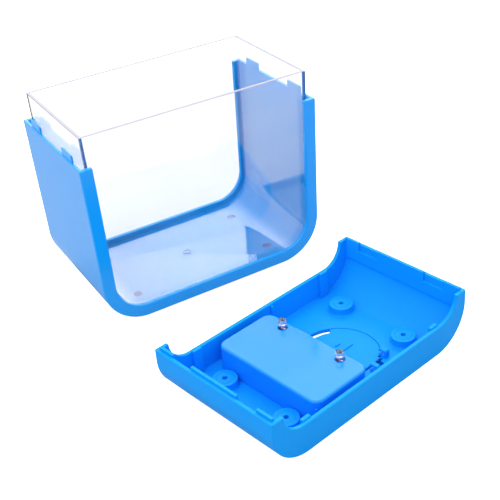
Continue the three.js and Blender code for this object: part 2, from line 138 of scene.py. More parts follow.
def loft(rings: np.ndarray, capped: bool = True) -> Shell:
    """Joins rings of equal length into a closed shell.

    Vertex (i, j) is ring i's point j; quads join (i, j), (i, j+1), (i+1, j+1), (i+1, j), with j
    taken modulo the ring's length, and one flat face closes each end.

    Args:
        rings: (m, n, 3) array of m closed rings.
        capped: whether the two ends get faces; if not, the last ring joins the first.

    Returns:
        The shell, facing outwards.
    """
    m, n, _ = rings.shape
    index = np.arange(m * n).reshape(m, n)
    rows = index if capped else np.vstack([index, index[:1]])
    low, high = rows[:-1], rows[1:]
    quads = np.stack([low, np.roll(low, -1, 1), np.roll(high, -1, 1), high], -1).reshape(-1, 4)
    faces = quads.tolist()
    if capped:
        faces += [index[0][::-1].tolist(), index[-1].tolist()]
    return Shell(rings.reshape(-1, 3), faces).outward()


def lathe(profile: Sequence[tuple[float, float]], steps: int = 40) -> Shell:
    """Turns a profile about +Z: point (r, z) becomes (r cos a, r sin a, z) for each angle a.

    Args:
        profile: radius and height pairs; both ends are closed by a flat face.
        steps: points round a full circle.

    Returns:
        The closed shell.
    """
    radius, height = np.array(profile, float).T
    angle = np.linspace(0, tau, steps, endpoint=False)
    x = radius[:, None] * np.cos(angle)
    y = radius[:, None] * np.sin(angle)
    z = np.broadcast_to(height[:, None], x.shape)
    return loft(np.stack([x, y, z], -1))


def rounded(radius: float, height: float, edge: float, foot: float = 0.0,
            steps: int = 4) -> list[tuple[float, float]]:
    """A post's profile with a round top edge: (r - e + e cos a, h - e + e sin a) over a quarter turn.

    Args:
        radius: the post's radius.
        height: the post's top.
        edge: radius of its top edge.
        foot: the post's lowest height.
        steps: parts of the edge.

    Returns:
        Radius and height pairs from the foot to the top's edge.
    """
    angle = np.linspace(0, QUARTER, steps + 1)
    bend = zip(radius - edge + edge * np.cos(angle), height - edge + edge * np.sin(angle))
    return [(radius, foot), *((float(r), float(h)) for r, h in bend)]


def arc(x: float, y: float, radius: float, start: float, end: float, steps: int = 24) -> np.ndarray:
    """Points (x + r cos a, y + r sin a) for angles in degrees from start to end, as an (n, 2) array."""
    angle = np.radians(np.linspace(start, end, steps + 1))
    return np.stack([x + radius * np.cos(angle), y + radius * np.sin(angle)], -1)


def round_rectangle(x0: float, x1: float, y0: float, y1: float, radius: float, steps: int = 8) -> np.ndarray:
    """A rectangle whose corners are quarter circles, anticlockwise.

    Args:
        x0: its left side.
        x1: its right side.
        y0: its near side.
        y1: its far side.
        radius: the corners' radius.
        steps: parts of each corner.

    Returns:
        (n, 2) points.
    """
    corners = [(x0, y0, 180), (x1, y0, 270), (x1, y1, 0), (x0, y1, 90)]
    parts = []
    for x, y, start in corners:
        inward_x = radius if x == x0 else -radius
        inward_y = radius if y == y0 else -radius
        parts.append(arc(x + inward_x, y + inward_y, radius, start, start + 90, steps))
    return np.vstack(parts)


def inset(outline: np.ndarray, distance: float) -> np.ndarray:
    """Moves a closed anticlockwise outline inwards.

    Each corner moves along the mean of its two edges' inward normals, by the distance over the
    cosine of half the turn, so that each edge moves by the distance.

    Args:
        outline: (n, 2) points.
        distance: how far each edge moves.

    Returns:
        (n, 2) moved points.
    """
    edge = np.roll(outline, -1, 0) - outline
    length = np.maximum(np.linalg.norm(edge, axis=1, keepdims=True), 1e-9)
    normal = np.stack([-edge[:, 1], edge[:, 0]], -1) / length
    mean = normal + np.roll(normal, 1, 0)
    mean /= np.maximum(np.linalg.norm(mean, axis=1, keepdims=True), 1e-9)
    reach = np.maximum((mean * normal).sum(1, keepdims=True), 0.5)
    return outline + mean * distance / reach


def plate(outline: np.ndarray, z0: float, z1: float, low: float = 0.0, high: float = 0.0,
          steps: int = 3) -> Shell:
    """Raises an outline from z0 to z1 with rounded lower and upper edges.

    Ring k of an edge of radius e is the outline inset by e (1 - sin a) at e (1 - cos a) from the face.

    Args:
        outline: (n, 2) anticlockwise points.
        z0: the lower face.
        z1: the upper face.
        low: radius of the lower edge.
        high: radius of the upper edge.
        steps: parts of each rounded edge.

    Returns:
        The closed shell.
    """
    rings = []
    for edge, base, sign in ((low, z0, 1), (high, z1, -1)):
        angles = np.linspace(0, QUARTER, steps + 1) if edge else np.array([QUARTER])
        rows = []
        for angle in angles:
            flat = inset(outline, edge * (1 - sin(angle)))
            height = np.full((len(flat), 1), base + sign * edge * (1 - cos(angle)))
            rows.append(np.hstack([flat, height]))
        rings += rows if sign > 0 else rows[::-1]
    return loft(np.array(rings))


def slab(x0: float, x1: float, y0: float, y1: float, z0: float, z1: float, edge: float = 0.3) -> Shell:
    """A bar between two opposite corners with all its edges rounded."""
    reach = min(x1 - x0, y1 - y0, z1 - z0) / 2.05
    soft = min(edge, reach)
    return plate(round_rectangle(x0, x1, y0, y1, soft, 3), z0, z1, soft, soft)


def bar(radius: float, x0: float, x1: float, y: float, z: float, edge: float = 0.15) -> Shell:
    """A round bar along X with eased ends."""
    length = x1 - x0
    profile = [(radius - edge, 0), (radius, edge), (radius, length - edge), (radius - edge, length)]
    return lathe(profile, 28).tipped("Y", 90).moved(x0, y, z)


def tube(path: np.ndarray, radius: np.ndarray, axis: Sequence[float], steps: int = 12) -> Shell:
    """Carries a circle along a path.

    At each point the tangent is the path's central difference, the side is the axis crossed with
    it, and the ring is the point + r (side cos a + tangent x side sin a).

    Args:
        path: (m, 3) points.
        radius: (m,) radii.
        axis: a direction that the path never runs along.
        steps: points round each ring.

    Returns:
        The closed tube.
    """
    tangent = np.gradient(path, axis=0)
    tangent /= np.linalg.norm(tangent, axis=1, keepdims=True)
    side = np.cross(np.array(axis, float), tangent)
    side /= np.linalg.norm(side, axis=1, keepdims=True)
    over = np.cross(tangent, side)
    angle = np.linspace(0, tau, steps, endpoint=False)
    ring = side[:, None] * np.cos(angle)[None, :, None] + over[:, None] * np.sin(angle)[None, :, None]
    return loft(path[:, None] + radius[:, None, None] * ring)


def channel_ring(depth: float, wall: float, skin: float, lip: np.ndarray, ease: np.ndarray,
                 soft: tuple[float, float, float], steps: int = 5) -> np.ndarray:
    """The C-shaped sections of a channel whose lips stand along its two long edges.

    A section is drawn in (across, inward): eight corners, each a quarter circle of its own radius,
    with the whole outline drawn in by ease. Corner centres are worked out for all sections at once.

    Args:
        depth: half the channel's size across.
        wall: thickness of each lip across.
        skin: thickness of the web between the lips.
        lip: (m,) height of the lips at each section.
        ease: (m,) how far each section is drawn in.
        soft: radii of the outer corners, the lips' tops and the inner fillets.
        steps: parts of each quarter circle.

    Returns:
        (m, n, 2) array of (across, inward) points.
    """
    outer, top, fillet = (soft[0] - ease, soft[1] - ease, soft[2] + ease)
    outer, top = np.maximum(outer, 0.05), np.maximum(top, 0.05)
    side, inner = depth - ease, depth - wall + ease
    crest, web = lip - ease, skin - ease
    corners = [
        (outer - side, ease + outer, outer, 180),
        (side - outer, ease + outer, outer, 270),
        (side - top, crest - top, top, 0),
        (inner + top, crest - top, top, 90),
        (inner - fillet, web + fillet, fillet, 0),
        (fillet - inner, web + fillet, fillet, 270),
        (-inner - top, crest - top, top, 0),
        (top - side, crest - top, top, 90),
    ]
    parts = []
    for index, (across, inward, radius, start) in enumerate(corners):
        turn = -90 if index in (4, 5) else 90
        angle = np.radians(np.linspace(start, start + turn, steps + 1))
        parts.append(np.stack([across[:, None] + radius[:, None] * np.cos(angle),
                               inward[:, None] + radius[:, None] * np.sin(angle)], -1))
    return np.concatenate(parts, 1)


@dataclass
class Course:
    """The line of a channel's outer face in the XZ plane: down one wall, round, across and up the other."""

    half: float
    height: float
    radius: float
    bend: int = 28
    rise: int = 1
    end: float = 0.7

    def stations(self) -> tuple[np.ndarray, np.ndarray, np.ndarray]:
        """Works the line out.

        Down the left wall points are (-w, z) with inward normal (1, 0); round the bend they are
        (-w + R - R cos a, R - R sin a) with normal (cos a, sin a); the right half is its mirror image.
        The first few stations ease the wall's end by a quarter circle.

        Returns:
            (m, 2) points, (m, 2) inward normals and (m,) easing.
        """
        turn = np.linspace(QUARTER, 0, 5)
        z = np.concatenate([self.height - self.end * (1 - np.sin(turn)),
                            np.linspace(self.height - self.end, self.radius, self.rise + 1)[1:]])
        ease = np.concatenate([self.end * (1 - np.cos(turn)), np.zeros(self.rise)])
        angle = np.linspace(0, QUARTER, self.bend + 1)[1:]
        wall = np.stack([np.full_like(z, -self.half), z], -1)
        bend = self.radius * np.stack([1 - np.cos(angle), 1 - np.sin(angle)], -1) - np.array([self.half, 0])
        left = np.vstack([wall, bend])
        normal = np.vstack([np.tile([1.0, 0.0], (len(z), 1)), np.stack([np.cos(angle), np.sin(angle)], -1)])
        ease = np.concatenate([ease, np.zeros(len(angle))])
        mirror = np.array([-1.0, 1.0])
        return (np.vstack([left, left[::-1] * mirror]), np.vstack([normal, normal[::-1] * mirror]),
                np.concatenate([ease, ease[::-1]]))

    def channel(self, depth: float, wall: float, skin: float, lip: np.ndarray,
                soft: tuple[float, float, float]) -> Shell:
        """Carries the C-shaped sections along the line: a point is P + inward N, at its own across.

        Args:
            depth: half the size across.
            wall: lip thickness across.
            skin: web thickness.
            lip: (m,) lip height at each station.
            soft: radii of the outer corners, the lips' tops and the inner fillets.

        Returns:
            The closed channel.
        """
        point, normal, ease = self.stations()
        section = channel_ring(depth, wall, skin, lip, ease, soft)
        flat = point[:, None] + section[..., 1:] * normal[:, None]
        return loft(np.stack([flat[..., 0], section[..., 0], flat[..., 1]], -1))


# ---------------------------------------------------------------- pieces


def mesh_of(name: str, shells: Sequence[Shell], place: Place) -> bpy.types.Mesh:
    """Puts shells into one mesh.

    Args:
        name: the mesh's name.
        shells: closed shells.
        place: where they lie.

    Returns:
        The mesh, with the shells' along values as an attribute where any shell has them.
    """
    mesh = bpy.data.meshes.new(name)
    start, faces = 0, []
    for shell in shells:
        faces += [[start + corner for corner in face] for face in shell.faces]
        start += len(shell.points)
    points = place.metres(np.vstack([shell.points for shell in shells]))
    mesh.from_pydata(points.tolist(), [], faces)
    if any(shell.along is not None for shell in shells):
        layer = mesh.attributes.new("along", "FLOAT", "POINT")
        values = [shell.along if shell.along is not None else np.zeros(len(shell.points)) for shell in shells]
        layer.data.foreach_set("value", np.concatenate(values).astype(np.float32))
    mesh.update()
    return mesh


def carved(body: Sequence[Shell], tools: Sequence[Shell]) -> list[Shell]:
    """Cuts tools out of a body, with Blender's exact solver.

    Args:
        body: shells to cut.
        tools: closed shells to take away.

    Returns:
        The cut body as one shell in the same millimetres.
    """
    scene = bpy.context.scene
    target = bpy.data.objects.new("carve_body", mesh_of("carve_body", body, Place()))
    cutter = bpy.data.objects.new("carve_tools", mesh_of("carve_tools", tools, Place()))
    for thing in (target, cutter):
        scene.collection.objects.link(thing)
    step = target.modifiers.new("cut", "BOOLEAN")
    step.operation, step.solver, step.object, step.use_self = "DIFFERENCE", "EXACT", cutter, True
    bpy.context.view_layer.update()
    result = target.evaluated_get(bpy.context.evaluated_depsgraph_get()).to_mesh()
    points = np.zeros(len(result.vertices) * 3)
    result.vertices.foreach_get("co", points)
    faces = [list(polygon.vertices) for polygon in result.polygons]
    shell = Shell(points.reshape(-1, 3) / MM, faces)
    target.evaluated_get(bpy.context.evaluated_depsgraph_get()).to_mesh_clear()
    for thing in (target, cutter):
        bpy.data.meshes.remove(thing.data)
    return [shell]


@dataclass(frozen=True)
class Seat:
    """What a piece moves with and stands for."""

    body: str
    slot: str
    nodes: tuple[str, ...] = ()


def piece(name: str, shells: Sequence[Shell], place: Place, seat: Seat,
          material: bpy.types.Material) -> bpy.types.Object:
    """Makes a finished piece and hands it to the frame.

    Args:
        name: the piece's name.
        shells: its closed shells.
        place: where they lie.
        seat: its body, slot and the nodes it stands for.
        material: its finish.

    Returns:
        The piece.
    """
    mesh = mesh_of(name, shells, place)
    mesh.shade_smooth()
    mesh.set_sharp_from_angle(angle=SMOOTH_ANGLE)
    mesh.materials.append(material)
    thing = bpy.data.objects.new(name, mesh)
    bpy.context.scene.collection.objects.link(thing)
    even = thing.modifiers.new("even_normals", "WEIGHTED_NORMAL")
    even.keep_sharp, even.weight = True, 100
    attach(thing, seat.body)
    if seat.nodes:
        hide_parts(*seat.nodes)
    log.info("%s: %d faces on %s", name, len(mesh.polygons), seat.body)
    return thing


def dress(material: bpy.types.Material, *nodes: str) -> None:
    """Gives carried-over nodes a finish.

    Args:
        material: the finish.
        nodes: the nodes' names.
    """
    for name in nodes:
        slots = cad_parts[name].data.materials
        slots.clear()
        slots.append(material)
        log.info("%s: carried over with %s", name, material.name)


# ---------------------------------------------------------------- shader maths


class Value:
    """A number on a shader socket that takes part in ordinary arithmetic."""

    def __init__(self, paint: "Paint", socket: bpy.types.NodeSocket) -> None:
        """Wraps a socket of a paint's node tree."""
        self.paint, self.socket = paint, socket

    def _math(self, operation: str, first: Any, second: Any) -> "Value":
        """Adds one Math node with that operation on two values."""
        return self.paint.node("ShaderNodeMath", {"operation": operation}, {0: first, 1: second})

    def __add__(self, other: Any) -> "Value":
        """Sum."""
        return self._math("ADD", self, other)

    __radd__ = __add__

    def __sub__(self, other: Any) -> "Value":
        """Difference."""
        return self._math("SUBTRACT", self, other)

    def __rsub__(self, other: Any) -> "Value":
        """Difference with the value second."""
        return self._math("SUBTRACT", other, self)

    def __mul__(self, other: Any) -> "Value":
        """Product."""
        return self._math("MULTIPLY", self, other)

    __rmul__ = __mul__


Color = tuple[float, float, float]


class Paint:
    """Builds one material's node tree."""

    def __init__(self, name: str) -> None:
        """Starts an empty tree."""
        self.material = bpy.data.materials.new(name)
        self.material.use_nodes = True
        self.tree = self.material.node_tree
        self.tree.nodes.clear()

    def node(self, kind: str, settings: dict[str, Any] | None = None,
             inputs: dict[Any, Any] | None = None, output: Any = 0) -> Value:
        """Adds a node.

        Args:
            kind: the node's type.
            settings: its properties, set first; ramp holds (position, colour) stops.
            inputs: sockets by name or index, as numbers, colours or values.
            output: the output socket to return.

        Returns:
            The chosen output.
        """
        made = self.tree.nodes.new(kind)
        for key, setting in (settings or {}).items():
            if key == "ramp":
                stops = made.color_ramp.elements
                for position, shade in setting[2:]:
                    stops.new(position)
                for stop, (position, shade) in zip(stops, setting):
                    stop.position, stop.color = position, (*shade, 1)
            else:
                setattr(made, key, setting)
        for key, given in (inputs or {}).items():
            if isinstance(given, Value):
                self.tree.links.new(given.socket, made.inputs[key])
            else:
                socket = made.inputs[key]
                socket.default_value = (*given, 1) if self._is_color(socket, given) else given
        return Value(self, made.outputs[output])

    @staticmethod
    def _is_color(socket: bpy.types.NodeSocket, given: Any) -> bool:
        """Whether a three-part value goes to a colour socket."""
        return socket.type == "RGBA" and len(given) == 3

    def place(self) -> Value:
        """The piece's own coordinates, in metres."""
        return self.node("ShaderNodeTexCoord", output="Object")

    def stretched(self, scale: tuple[float, float, float], turn: float = 0.0) -> Value:
        """Object coordinates turned about +Z by degrees and then scaled."""
        return self.node("ShaderNodeMapping", {"vector_type": "POINT"},
                         {"Vector": self.place(), "Rotation": (0, 0, radians(turn)), "Scale": scale})

    def noise(self, scale: float, detail: float = 2.0, vector: Value | None = None) -> Value:
        """Cloudy noise from 0 to 1, with scale cells to the metre."""
        return self.node("ShaderNodeTexNoise", None,
                         {"Vector": vector or self.place(), "Scale": scale, "Detail": detail})

    def blend(self, mask: Value, first: Any, second: Any) -> Value:
        """A colour that goes from first to second as the mask goes from 0 to 1."""
        return self.node("ShaderNodeMix", {"data_type": "RGBA"}, {0: mask, 6: first, 7: second}, 2)

    def bump(self, height: Value, distance: float, strength: float = 1.0) -> Value:
        """A normal bent by a height of up to that many metres."""
        return self.node("ShaderNodeBump", None,
                         {"Height": height, "Distance": distance, "Strength": strength})

    def principled(self, **inputs: Any) -> Value:
        """The main shader, with underscores for the spaces in its sockets' names."""
        named = {key.replace("_", " "): given for key, given in inputs.items()}
        return self.node("ShaderNodeBsdfPrincipled", None, named)

    def finish(self, shader: Value) -> bpy.types.Material:
        """Sends a shader to the output and returns the material."""
        out = self.tree.nodes.new("ShaderNodeOutputMaterial")
        self.tree.links.new(shader.socket, out.inputs["Surface"])
        return self.material


# ---------------------------------------------------------------- finishes


@dataclass(frozen=True)
class MouldedPlastic:
    """Glossy coloured plastic, with faint flow clouds, uneven gloss and a very fine skin."""

    name: str
    pale: Color
    deep: Color
    gloss: float = 0.2
    shine: float = 0.5
    cloud: float = 45.0
    waver: float = 0.00004
    grain: float = 0.000004

    def material(self) -> bpy.types.Material:
        """Colour and roughness follow slow clouds; the bump is slow sink marks plus a fine grain.

        Returns:
            The material.
        """
        paint = Paint(self.name)
        clouds = paint.noise(self.cloud, 3)
        streaks = paint.noise(1.0, 2, paint.stretched((30, 160, 60)))
        mask = clouds * 0.7 + streaks * 0.3
        color = paint.blend(mask, self.deep, self.pale)
        rough = self.gloss * 0.75 + paint.noise(self.cloud * 4, 4) * (self.gloss * 0.5)
        sink = paint.bump(paint.noise(self.cloud * 0.6, 1), self.waver)
        fine = paint.node("ShaderNodeBump", None,
                          {"Height": paint.noise(3200, 2), "Distance": self.grain, "Normal": sink})
        return paint.finish(paint.principled(Base_Color=color, Roughness=rough, IOR=1.5,
                                             Specular_IOR_Level=self.shine, Normal=fine))


@dataclass(frozen=True)
class ClearPlastic:
    """Water-clear plastic that lets lamps shine through, with barely uneven faces."""

    name: str
    tint: Color
    ior: float
    waver: float = 0.00003
    shade: float = 0.97

    def material(self) -> bpy.types.Material:
        """Full transmission; shadow rays pass as through thin film, and the faces waver slowly.

        Returns:
            The material.
        """
        paint = Paint(self.name)
        tint = paint.blend(paint.noise(25, 2), self.tint, tuple(0.985 * part for part in self.tint))
        rough = paint.noise(300, 3) * 0.02
        normal = paint.bump(paint.noise(22, 1), self.waver)
        glass = paint.principled(Base_Color=tint, Roughness=rough, IOR=self.ior,
                                 Transmission_Weight=1.0, Normal=normal)
        through = paint.node("ShaderNodeBsdfTransparent", None, {"Color": (self.shade,) * 3})
        shadow = paint.node("ShaderNodeLightPath", output="Is Shadow Ray")
        return paint.finish(paint.node("ShaderNodeMixShader", None, {0: shadow, 1: glass, 2: through}))


@dataclass(frozen=True)
class MattFinish:
    """Rubber, ceramic, wire skin or black plastic: dull, with a fine grain."""

    name: str
    pale: Color
    deep: Color
    gloss: float
    grain: float = 1500.0
    depth: float = 0.00002

    def material(self) -> bpy.types.Material:
        """Colour follows soft clouds, roughness follows a finer noise, and the grain is a bump.

        Returns:
            The material.
        """
        paint = Paint(self.name)
        color = paint.blend(paint.noise(260, 3), self.deep, self.pale)
        rough = self.gloss + paint.noise(700, 3) * 0.12
        normal = paint.bump(paint.noise(self.grain, 3), self.depth)
        return paint.finish(paint.principled(Base_Color=color, Roughness=rough, Normal=normal))


@dataclass(frozen=True)
class PlatedSteel:
    """Bright plated steel with short rolling marks and dull specks."""

    name: str
    color: Color = (0.62, 0.63, 0.64)
    dull: Color = (0.42, 0.41, 0.40)

    def material(self) -> bpy.types.Material:
        """Rolling marks are noise stretched along one way; where marks or specks fail, the plating is dull.

        Returns:
            The material.
        """
        paint = Paint(self.name)
        marks = paint.noise(1.0, 3, paint.stretched((400, 5200, 400), LID_TURN))
        specks = paint.noise(900, 4)
        color = paint.blend(1 - specks * marks, self.color, self.dull)
        normal = paint.bump(marks, 0.00001)
        return paint.finish(paint.principled(Base_Color=color, Metallic=1.0, Roughness=0.16 + marks * 0.2,
                                             Normal=normal))


@dataclass(frozen=True)
class BoardFinish:
    """A lamp board: green lacquer over copper tracks."""

    name: str
    lacquer: Color = (0.02, 0.16, 0.06)
    track: Color = (0.06, 0.33, 0.11)

    def material(self) -> bpy.types.Material:
        """Tracks are the joints of a running-bond pattern laid along the board.

        Returns:
            The material.
        """
        paint = Paint(self.name)
        bond = paint.node("ShaderNodeTexBrick", {"offset": 0.37},
                          {"Vector": paint.stretched((1, 1, 1), LID_TURN), "Scale": 90.0, "Mortar Size": 0.05,
                           "Brick Width": 0.9, "Row Height": 0.16, "Mortar Smooth": 0.2}, 1)
        color = paint.blend(bond, self.lacquer, self.track)
        normal = paint.bump(bond, 0.00003)
        return paint.finish(paint.principled(Base_Color=color, Roughness=0.3 + paint.noise(900, 2) * 0.15,
                                             Normal=normal))


@dataclass(frozen=True)
class BandedFinish:
    """A skin whose colour changes in bands along the piece's own length."""

    name: str
    bands: tuple[tuple[float, Color], ...]
    gloss: float = 0.25

    def material(self) -> bpy.types.Material:
        """A stepped ramp reads the "along" attribute, and a fine noise dulls the skin.

        Returns:
            The material.
        """
        paint = Paint(self.name)
        along = paint.node("ShaderNodeAttribute", {"attribute_name": "along"}, output="Fac")
        bands = paint.node("ShaderNodeValToRGB", {"ramp": self.bands}, {0: along})
        bands.socket.node.color_ramp.interpolation = "CONSTANT"
        worn = paint.blend(paint.noise(500, 3) * 0.25, bands, (0.3, 0.3, 0.3))
        normal = paint.bump(paint.noise(800, 2), 0.00001)
        rough = self.gloss + paint.noise(400, 2) * 0.1
        return paint.finish(paint.principled(Base_Color=worn, Roughness=rough, Normal=normal))


class Finish(Enum):
    """Every finish of the object, built on first use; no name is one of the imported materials'."""

    BLUE = MouldedPlastic("azure_moulding", (0.004, 0.36, 0.97), (0.003, 0.325, 0.92), 0.2)
    SATIN_BLUE = MouldedPlastic("azure_satin", (0.004, 0.335, 0.93), (0.003, 0.30, 0.89), 0.4, 0.08)
    GLOSS_BLUE = MouldedPlastic("azure_polish", (0.008, 0.285, 0.95), (0.005, 0.26, 0.92), 0.09, 0.32, 30,
                                0.00003)
    CLEAR = ClearPlastic("water_clear", (0.985, 0.988, 1.0), 1.55)
    # Painted rim line: a matt lavender-grey that stands in for the line of light and shade along the glass
    # edge.
    RIM = MattFinish("tank_rim_painted_line", (0.38, 0.37, 0.45), (0.35, 0.34, 0.41), 0.3)
    GATE = MattFinish("gate_mark", (0.36, 0.38, 0.55), (0.30, 0.32, 0.47), 0.3)
    LENS = ClearPlastic("lens_resin", (1.0, 0.98, 0.985), 1.53, 0.00001)
    RUBBER = MattFinish("foot_rubber", (0.07, 0.12, 0.52), (0.05, 0.09, 0.43), 0.6)
    CERAMIC = MattFinish("resistor_ceramic", (0.62, 0.46, 0.25), (0.52, 0.37, 0.19), 0.4)
    BLACK = MattFinish("black_moulding", (0.02, 0.02, 0.022), (0.012, 0.012, 0.014), 0.35)
    RED_SKIN = MattFinish("red_wire_skin", (0.50, 0.02, 0.02), (0.38, 0.012, 0.012), 0.35)
    BLACK_SKIN = MattFinish("black_wire_skin", (0.02, 0.02, 0.022), (0.012, 0.012, 0.014), 0.35)
    STEEL = PlatedSteel("plated_steel")
    # Plated lead frame whose lavender tint is a painted reflection of the pinkish glints in the lamps.
    LEAD = PlatedSteel("lead_frame", (0.84, 0.80, 0.97), (0.52, 0.44, 0.68))
    BOARD = BoardFinish("lamp_board_lacquer")
    CELL = BandedFinish("cell_wrap", ((0.0, (0.55, 0.55, 0.56)), (0.02, (0.012, 0.012, 0.015)),
                                      (0.70, (0.55, 0.26, 0.10)), (0.955, (0.62, 0.62, 0.63))))
    # Lamp chip whose pale lavender is a painted reflection of the pinkish glints in the lamps.
    BULB_CHIP = MattFinish("lamp_chip_painted_tint", (0.78, 0.68, 0.86), (0.62, 0.5, 0.7), 0.4)

    def get(self) -> bpy.types.Material:
        """The material, made the first time that it is asked for."""
        return bpy.data.materials.get(self.value.name) or self.value.material()


# ---------------------------------------------------------------- cradle and tank

BASE_PLACE = Place(-5.5, 79.08, 1.1)


@dataclass
class Cradle:
    """The U-shaped channel that the tank stands in, its tabs and its four feet."""

    height: float = 106.0
    skin: float = 2.3
    lip: float = 3.0
    lip_width: float = 8.0
    radius: float = 27.0
    tab: float = 1.3
    tab_rise: float = 4.6
    foot_x: float = 47.0
    foot_y: float = 23.4
    pad: float = 5.6
    stem: float = 2.5
    hole_play: float = 0.3
    tab_gap: float = 0.04
    tab_root: float = 6.0

    def shells(self) -> list[Shell]:
        """The channel with its stem holes cut, and a rounded tab on each half of each wall's top.

        Returns:
            The carved channel and the tabs, all leaning outwards with the walls.
        """
        course = Course(WIDTH / 2, self.height, self.radius, bend=36)
        lip = np.full(len(course.stations()[0]), self.lip_width)
        body = course.channel(DEPTH / 2, self.lip, self.skin, lip, (0.9, 0.8, 0.5))
        inner = WIDTH / 2 - self.skin
        holes, tabs = [], []
        for side in (-1, 1):
            x0, x1 = sorted((side * (inner + self.tab_gap), side * (inner + self.tab)))
            for end in (-1, 1):
                y0, y1 = sorted((end * TAB_FROM, end * TAB_TO))
                low, high = self.height - self.tab_root, self.height + self.tab_rise
                outline = round_rectangle(y0, y1, low, high, 0.9, 5)
                tabs.append(plate(outline, x0, x1, 0.25, 0.25).stood())
                hole = arc(side * self.foot_x, end * self.foot_y, self.stem + self.hole_play, 0, 350, 35)
                holes.append(plate(hole, -1, self.skin + 1))
        return [shell.splayed(self.radius) for shell in [*carved([body], holes), *tabs]]

    def foot(self) -> Shell:
        """A foot: a chamfered pad with a shallow ring, and a stem that ends in a rounded head."""
        profile = [(2.6, -0.85), (2.9, -1.1), (self.pad - 0.4, -1.1), (self.pad, -0.75), (self.pad, -0.3),
                   (self.pad - 0.15, -0.15), (self.stem, -0.15), (self.stem, 1.7), (self.stem - 0.15, 2.05),
                   (self.stem - 0.5, 2.2)]
        return lathe(profile, 48)

    def build(self) -> None:
        """Builds the channel and the feet and hands them to the frame."""
        piece("cradle_channel", self.shells(), BASE_PLACE, Seat("cradle", "blue_plastic", ("cradle",)),
              Finish.BLUE.get())
        for end, y in (("front", -self.foot_y), ("back", self.foot_y)):
            for side, x in (("left", -self.foot_x), ("right", self.foot_x)):
                piece(f"rubber_foot_{end}_{side}", [self.foot().moved(x, y)], BASE_PLACE,
                      Seat("cradle", "rubber", (f"foot_{end}_{side}",)), Finish.RUBBER.get())


